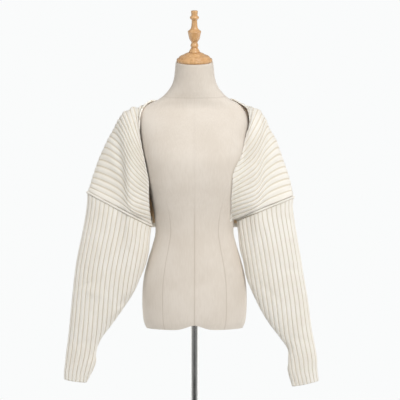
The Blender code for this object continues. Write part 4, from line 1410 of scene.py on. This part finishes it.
def round_edges(outer, inner, outward, rise):
    """Thins and rolls the cloth's free edges, and draws the purl back between the ribs."""
    for end in (0, -1):
        step = 1 if end == 0 else -1
        third = outer[:, end + 2 * step].copy()
        for spot, share in enumerate(SCALLOP):
            row = end + spot * step
            draw = (share * (1 - rise))[:, None]
            for face in (outer, inner):
                face[:, row] += (third - outer[:, row]) * draw
        for spot, share in enumerate(EDGE_THICKNESS):
            row = end + spot * step
            middle = (outer[:, row] + inner[:, row]) / 2
            roll = outward[:, row] * EDGE_ROLL * (1 - spot / len(EDGE_THICKNESS)) ** 2
            outer[:, row] = middle + (outer[:, row] - middle) * share + roll
            inner[:, row] = middle + (inner[:, row] - middle) * share + roll


print("edge rows:", len(EDGE_THICKNESS), "rolled out by", round(EDGE_ROLL / MM, 1), "mm")

# %% [markdown]
# ### Room for the armhole seams
#
# The seams' rolls lie between panel and sleeve, so the panel's last points are moved out of the tube of
# space that a roll will fill.

# %% Seam line
SEAM_STEPS = 600
SEAM_ROOM = SEAM_RADIUS + 0.2 * MM


def seam_line(table, side, steps):
    """Middle line of the linked roll round the armhole, and its outward directions."""
    loop = armhole_loop(table, side)
    total = lengths_along(loop)[-1]
    path = read_line(loop, np.linspace(0, total, steps, endpoint=False))
    along = unit(np.roll(path, -1, axis=0) - np.roll(path, 1, axis=0))
    outward = path - path.mean(axis=0)
    outward = unit(outward - along * (outward * along).sum(axis=1, keepdims=True))
    return path - outward * SEAM_SINK, along, outward, total


def keep_off_seams(points):
    for side, table in ((-1, RIGHT_SLEEVE), (1, LEFT_SLEEVE)):
        path, _, _, _ = seam_line(table, side, SEAM_STEPS)
        low, high = path.min(axis=0) - SEAM_ROOM, path.max(axis=0) + SEAM_ROOM
        near = np.all((points > low) & (points < high), axis=-1)
        for spot in np.argwhere(near):
            spot = tuple(spot)
            away = points[spot] - path
            distances = np.linalg.norm(away, axis=1)
            nearest = distances.argmin()
            if distances[nearest] < SEAM_ROOM:
                points[spot] = path[nearest] + away[nearest] / distances[nearest] * SEAM_ROOM


for side, table in ((-1, RIGHT_SLEEVE), (1, LEFT_SLEEVE)):
    print("seam at x", side, "is", round(seam_line(table, side, SEAM_STEPS)[3], 3), "m long")

# %% [markdown]
# ### The panel itself
#
# Now the steps follow each other: ease the grid, sink the creases, move the inner face in by the cloth's
# thickness, lay it on the form, raise the ribs on the outer face, round the edges and clear the seams. The
# two faces and the rims between them are one closed wall.

# %% Body panel
COURSE_COLUMN = 300  # the column of points on which the courses are counted
TURN_ROWS = 6  # rows of the inner face, at each edge, left without the painted shade, as the edge turns them out to the light


def build_body_panel():
    positions = rib_positions(-HALF_RIBS, HALF_RIBS)
    surface = ease_surface(panel_grid(positions))
    outward = facing_out(surface)
    surface = surface + outward * crease_lift(surface, outward, PANEL_CREASES)[..., None]
    outward = facing_out(surface)
    form = dress_form.data
    tree = BVHTree.FromPolygons([v.co for v in form.vertices], [tuple(p.vertices) for p in form.polygons])
    inner = lay_on_form(surface - outward * CLOTH, outward, tree)
    rise = rib_rise(positions)
    outer = inner + outward * (WALL + RIB_HEIGHT * rise)[:, None, None]
    round_edges(outer, inner, outward, rise)
    keep_off_seams(outer)
    keep_off_seams(inner)
    columns, rows = surface.shape[:2]
    courses = lengths_along(surface[COURSE_COLUMN]) / COURSE
    across, down = np.meshgrid(positions, courses, indexing="ij")
    uv = np.stack([across, down], axis=-1)
    inner_uv = uv[::INNER_STRIDE]
    points = np.concatenate([outer.reshape(-1, 3), inner[::INNER_STRIDE].reshape(-1, 3)])
    layers = {"knit": np.concatenate([uv.reshape(-1, 2), inner_uv.reshape(-1, 2)])}
    # the inner face's points, all but the rows at each edge, get the painted inside shade
    in_shade = np.zeros(inner_uv[..., 0].shape)
    in_shade[:, TURN_ROWS:-TURN_ROWS] = 1
    layers["inside"] = np.concatenate([np.zeros(outer[..., 0].size), in_shade.ravel()])
    faces = wall_faces(columns, rows, INNER_STRIDE, False)
    return add_piece("knitted_body_panel", points, faces, rib_knit, KNIT_SHARP, layers)


body_panel = build_body_panel()
seat(body_panel, "rib_knit", "body_panel")

# %% [markdown]
# ## Knitting the sleeves
#
# A sleeve's ribs run lengthwise, all parallel to its outer fold. The sleeve narrows only at the underarm
# seam, so the ribs beside that seam are cut off by it one after the other. In the mesh, every section
# has the same columns at the same distances from the fold, and those that would lie past the underarm
# line are moved onto it and merged there. Towards the hand the rib draws in, as a cuff does.

# %% Tables of the sleeves' creases
RIGHT_CREASES = [
    Crease("front", -212, 985, 74, 90, 11, -4),
    Crease("front", -196, 950, 66, 80, 10, 3),
    Crease("front", -330, 815, 20, 70, 10, -3),
    Crease("front", -300, 790, 160, 80, 12, 2.5),
    Crease("front", -215, 760, 42, 70, 9, -3.5),
    Crease("front", -238, 735, 38, 60, 9, 3),
    Crease("front", -330, 640, 15, 60, 10, -2),
    Crease("back", -225, 960, 110, 120, 16, -5),
    Crease("back", -290, 830, 30, 110, 15, -4),
    Crease("back", -260, 770, 35, 90, 13, 3.5),
    Crease("back", -330, 660, 18, 70, 11, -2.5),
]
LEFT_CREASES = [
    Crease("front", 196, 980, 98, 110, 12, -3),
    Crease("front", 225, 940, 96, 130, 14, 2.5),
    Crease("front", 290, 860, 168, 70, 14, -2.5),
    Crease("front", 228, 790, 140, 80, 11, -2.5),
    Crease("front", 318, 650, 170, 60, 10, -2),
    Crease("back", 215, 950, 72, 130, 17, -5),
    Crease("back", 270, 840, 150, 100, 15, -3.5),
    Crease("back", 245, 775, 145, 90, 13, 3),
    Crease("back", 318, 655, 165, 60, 10, -2),
]
print("sleeves:", len(RIGHT_CREASES), "and", len(LEFT_CREASES), "creases")

# %% [markdown]
# ### Ribs round a section
#
# The front and the back half of a section are both walked from the fold to the underarm line, one rib's
# width at a time. A section that slants across the sleeve crosses each rib at an angle, so its steps are
# longer. At the underarm line a rib's height fades to nothing, as it does where it is sewn.

# %% Sections of a sleeve
SLEEVE_PITCH = 14 * MM
CUFF_PITCH = 0.87  # of the pitch, at the very end
CUFF_START = 0.8  # of the sleeve's length
SLEEVE_ROWS = 190
SEAM_ALLOWANCE = 4.6 * MM
UNDERARM_FADE = 5 * MM  # a rib sinks into the underarm seam over this distance
SLANT_DEGREE = 3
MERGED = 0.01 * MM  # points nearer than this on the underarm line are one


def loop_normals(loop):
    along = np.gradient(loop, axis=0)
    along[0] = along[-1] = loop[1] - loop[-2]
    plane = np.cross(loop[0] - loop[len(loop) // 2], (0, 1, 0))
    normals = unit(np.cross(along, plane))
    return normals if normals[0].dot(loop[0] - loop.mean(axis=0)) > 0 else -normals


def half_section(line, normals, pitch, positions):
    """Points, outward directions and rib heights of a front or back half, from the fold inwards."""
    travelled = lengths_along(line)
    distances = np.minimum(positions * pitch, travelled[-1])
    points = np.stack([np.interp(distances, travelled, line[:, axis]) for axis in range(3)], axis=1)
    facing = np.stack([np.interp(distances, travelled, normals[:, axis]) for axis in range(3)], axis=1)
    rise = rib_rise(positions) * soft_step(0, UNDERARM_FADE, travelled[-1] - distances)
    return points, unit(facing), rise, distances


def rib_pitches(sections, reach, shares):
    """The ribs run along the fold, so a slanting section crosses them at a wider pitch."""
    fold_run = unit(np.gradient(sections[:, 0:2], axis=0))
    across = unit(sections[:, 2:4] - sections[:, 0:2])
    slants = np.abs(fold_run[:, 0] * across[:, 1] - fold_run[:, 1] * across[:, 0])
    slants = np.polyval(np.polyfit(reach, slants, SLANT_DEGREE), reach)
    return SLEEVE_PITCH / slants * (1 - (1 - CUFF_PITCH) * soft_step(CUFF_START, 1, shares))


def sleeve_grid(loops, pitches):
    """Points, outward directions, rib heights and distances from the fold, ring by ring."""
    half_way = LOOP_SAMPLES // 2
    longest = max(lengths_along(loop)[-1] / 2 / pitch for loop, pitch in zip(loops, pitches))
    positions = rib_positions(0, int(longest) + 2)
    rings = []
    for loop, pitch in zip(loops, pitches):
        normals = loop_normals(loop)
        front = half_section(loop[: half_way + 1], normals[: half_way + 1], pitch, positions)
        back = half_section(loop[half_way:][::-1], normals[half_way:][::-1], pitch, positions)
        rings.append([np.concatenate([f, b[-2:0:-1]]) for f, b in zip(front, back)])
    return [np.stack(part, axis=1) for part in zip(*rings)]


cuff_pitch = round(SLEEVE_PITCH * CUFF_PITCH / MM, 1)
print("rib pitch:", round(SLEEVE_PITCH / MM), "mm, and at the very end of the cuff", cuff_pitch, "mm")

# %% [markdown]
# ### The sleeves themselves
#
# A sleeve is made like the panel: rings of points, creases, an inner face, raised ribs and a rounded
# cuff. Its girth round the top and its length down the middle are printed, as worn.


# %% Sleeves
def build_sleeve(name, table, side, creases, node):
    numbers = sleeve_numbers(table)
    stations = lengths_along((numbers[:, 0:2] + numbers[:, 2:4]) / 2)
    length = stations[-1] - SEAM_ALLOWANCE
    shares = np.concatenate([np.linspace(0, MAIN_SPAN[1], SLEEVE_ROWS), 1 - np.array(EDGE_SHARES)[::-1]])
    reach = SEAM_ALLOWANCE + shares * length
    sections = spline(stations, numbers, reach)
    pitches = rib_pitches(sections, reach, shares)
    loops = [section_loop(section, side) for section in sections]
    points, outward, rise, distances = sleeve_grid(loops, pitches)
    points = points + outward * crease_lift(points, outward, creases)[..., None]
    inner = points - outward * CLOTH
    outer = inner + outward * (WALL + RIB_HEIGHT * rise)[..., None]
    for spot, share in enumerate(EDGE_THICKNESS):
        row = -1 - spot
        middle = (outer[:, row] + inner[:, row]) / 2
        outer[:, row] = middle + (outer[:, row] - middle) * share
        inner[:, row] = middle + (inner[:, row] - middle) * share
    columns, rows = rise.shape
    ribs_across = distances / pitches[None, :]
    uv = np.stack([ribs_across, np.broadcast_to(reach / COURSE, ribs_across.shape)], axis=-1)
    both = np.concatenate([outer.reshape(-1, 3), inner.reshape(-1, 3)])
    layers = {"knit": np.concatenate([uv.reshape(-1, 2)] * 2)}
    # the sleeve's inner face gets the painted inside shade, all but the rows at the cuff
    in_shade = np.ones(rise.shape)
    in_shade[:, -TURN_ROWS:] = 0
    layers["inside"] = np.concatenate([np.zeros(rise.size), in_shade.ravel()])
    faces = wall_faces(columns, rows, 1, True)
    piece = add_piece(name, both, faces, rib_knit, KNIT_SHARP, layers, merge=MERGED)
    seat(piece, "rib_knit", node)
    girth = lengths_along(loops[0])[-1]
    print(f"{name}: {girth:.3f} m round the top, {length:.3f} m long")
    return piece


sleeve_right = build_sleeve("knitted_sleeve_right", RIGHT_SLEEVE, -1, RIGHT_CREASES, "sleeve_right")
sleeve_left = build_sleeve("knitted_sleeve_left", LEFT_SLEEVE, 1, LEFT_CREASES, "sleeve_left")

# %% [markdown]
# ## The linked armhole seams
#
# Panel and sleeve are linked with their edges outwards, so the seam stands up as a roll of yarn that
# catches the light. It is a tube round the armhole whose radius swells and shrinks with each linking
# stitch. The swelling winds round the tube, so the roll looks twisted, as linked edges do. Its UVs give
# the side by the sleeve, and the dips between two links, the valley's darker colour: a painted shadow
# under the roll and painted shade between the links.

# %% Armhole seams
ROLL_STEPS = 640
ROLL_SIDES = 12
LINK_PITCH = 5 * MM
LINK_SWELL = 0.16
LINK_SINK = 0.4  # more of the swelling goes inwards than outwards
WANDER = 0.06  # slow change of the roll's thickness
WANDER_LINKS = 11
WANDER_START = 1.3
# painted shadow on the roll's side towards the sleeve: the range of facing over which it comes in
PAINTED_SHADOW_BESIDE_SLEEVE = (0.3, 0.85)
# how much painted shade lies in the dips between two links
PAINTED_SHADE_BETWEEN_LINKS = 0.7
ROLL_TOP, ROLL_SHADE = 0.27, 0.25  # place across a rib, and how far the painted shade moves it towards the valley's colour


def build_armhole_seam(name, table, side, node):
    path, along, outward, total = seam_line(table, side, ROLL_STEPS)
    across = np.cross(along, outward)
    turns = np.linspace(0, 2 * math.pi, ROLL_STEPS, endpoint=False) * round(total / LINK_PITCH)
    angles = np.linspace(0, 2 * math.pi, ROLL_SIDES, endpoint=False)
    twist = np.sin(turns[:, None] + angles[None, :])
    swell = 1 + LINK_SWELL * (twist - LINK_SINK)
    wander = 1 + WANDER * np.sin(turns[:, None] / WANDER_LINKS + WANDER_START)
    radius = SEAM_RADIUS * swell * wander
    cosines, sines = np.cos(angles)[None, :, None], np.sin(angles)[None, :, None]
    ring = cosines * outward[:, None] + sines * across[:, None]
    points = path[:, None] + radius[..., None] * ring
    faces = tube_faces(ROLL_STEPS, ROLL_SIDES, cap_ends=False)
    last = (ROLL_STEPS - 1) * ROLL_SIDES
    faces += [(last + s, last + (s + 1) % ROLL_SIDES, (s + 1) % ROLL_SIDES, s) for s in range(ROLL_SIDES)]
    numbers = sleeve_numbers(table)
    down = numbers[1] - numbers[0]
    down = unit(np.array([side * (down[0] + down[2]), 0, down[1] + down[3]]))
    # painted shadow on the roll's side by the sleeve, and painted shade in the dips between links, both as
    # UVs moved towards the valley's colour
    beside_sleeve = soft_step(*PAINTED_SHADOW_BESIDE_SLEEVE, ring @ down)
    lengthwise = np.linspace(0, total / COURSE, ROLL_STEPS)[:, None]
    sunk = np.maximum(beside_sleeve, PAINTED_SHADE_BETWEEN_LINKS * (0.5 - 0.5 * twist) ** 2)
    uv = np.stack(np.broadcast_arrays(ROLL_TOP - ROLL_SHADE * sunk, lengthwise), axis=-1)
    layers = {"knit": uv.reshape(-1, 2)}
    piece = add_piece(name, points.reshape(-1, 3), faces, rib_knit, KNIT_SHARP, layers)
    seat(piece, "rib_knit", node)


build_armhole_seam("linked_seam_right", RIGHT_SLEEVE, -1, "armhole_seam_right")
build_armhole_seam("linked_seam_left", LEFT_SLEEVE, 1, "armhole_seam_left")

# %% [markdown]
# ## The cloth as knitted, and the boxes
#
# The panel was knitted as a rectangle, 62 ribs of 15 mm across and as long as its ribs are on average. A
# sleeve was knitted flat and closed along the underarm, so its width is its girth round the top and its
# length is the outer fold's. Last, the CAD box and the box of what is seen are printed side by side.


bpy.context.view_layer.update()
for box_name, (low, high) in (("solids", CAD_BOX), ("visible pieces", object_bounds())):
    print(box_name, [round(float(b - a), 4) for a, b in zip(low, high)], "m")
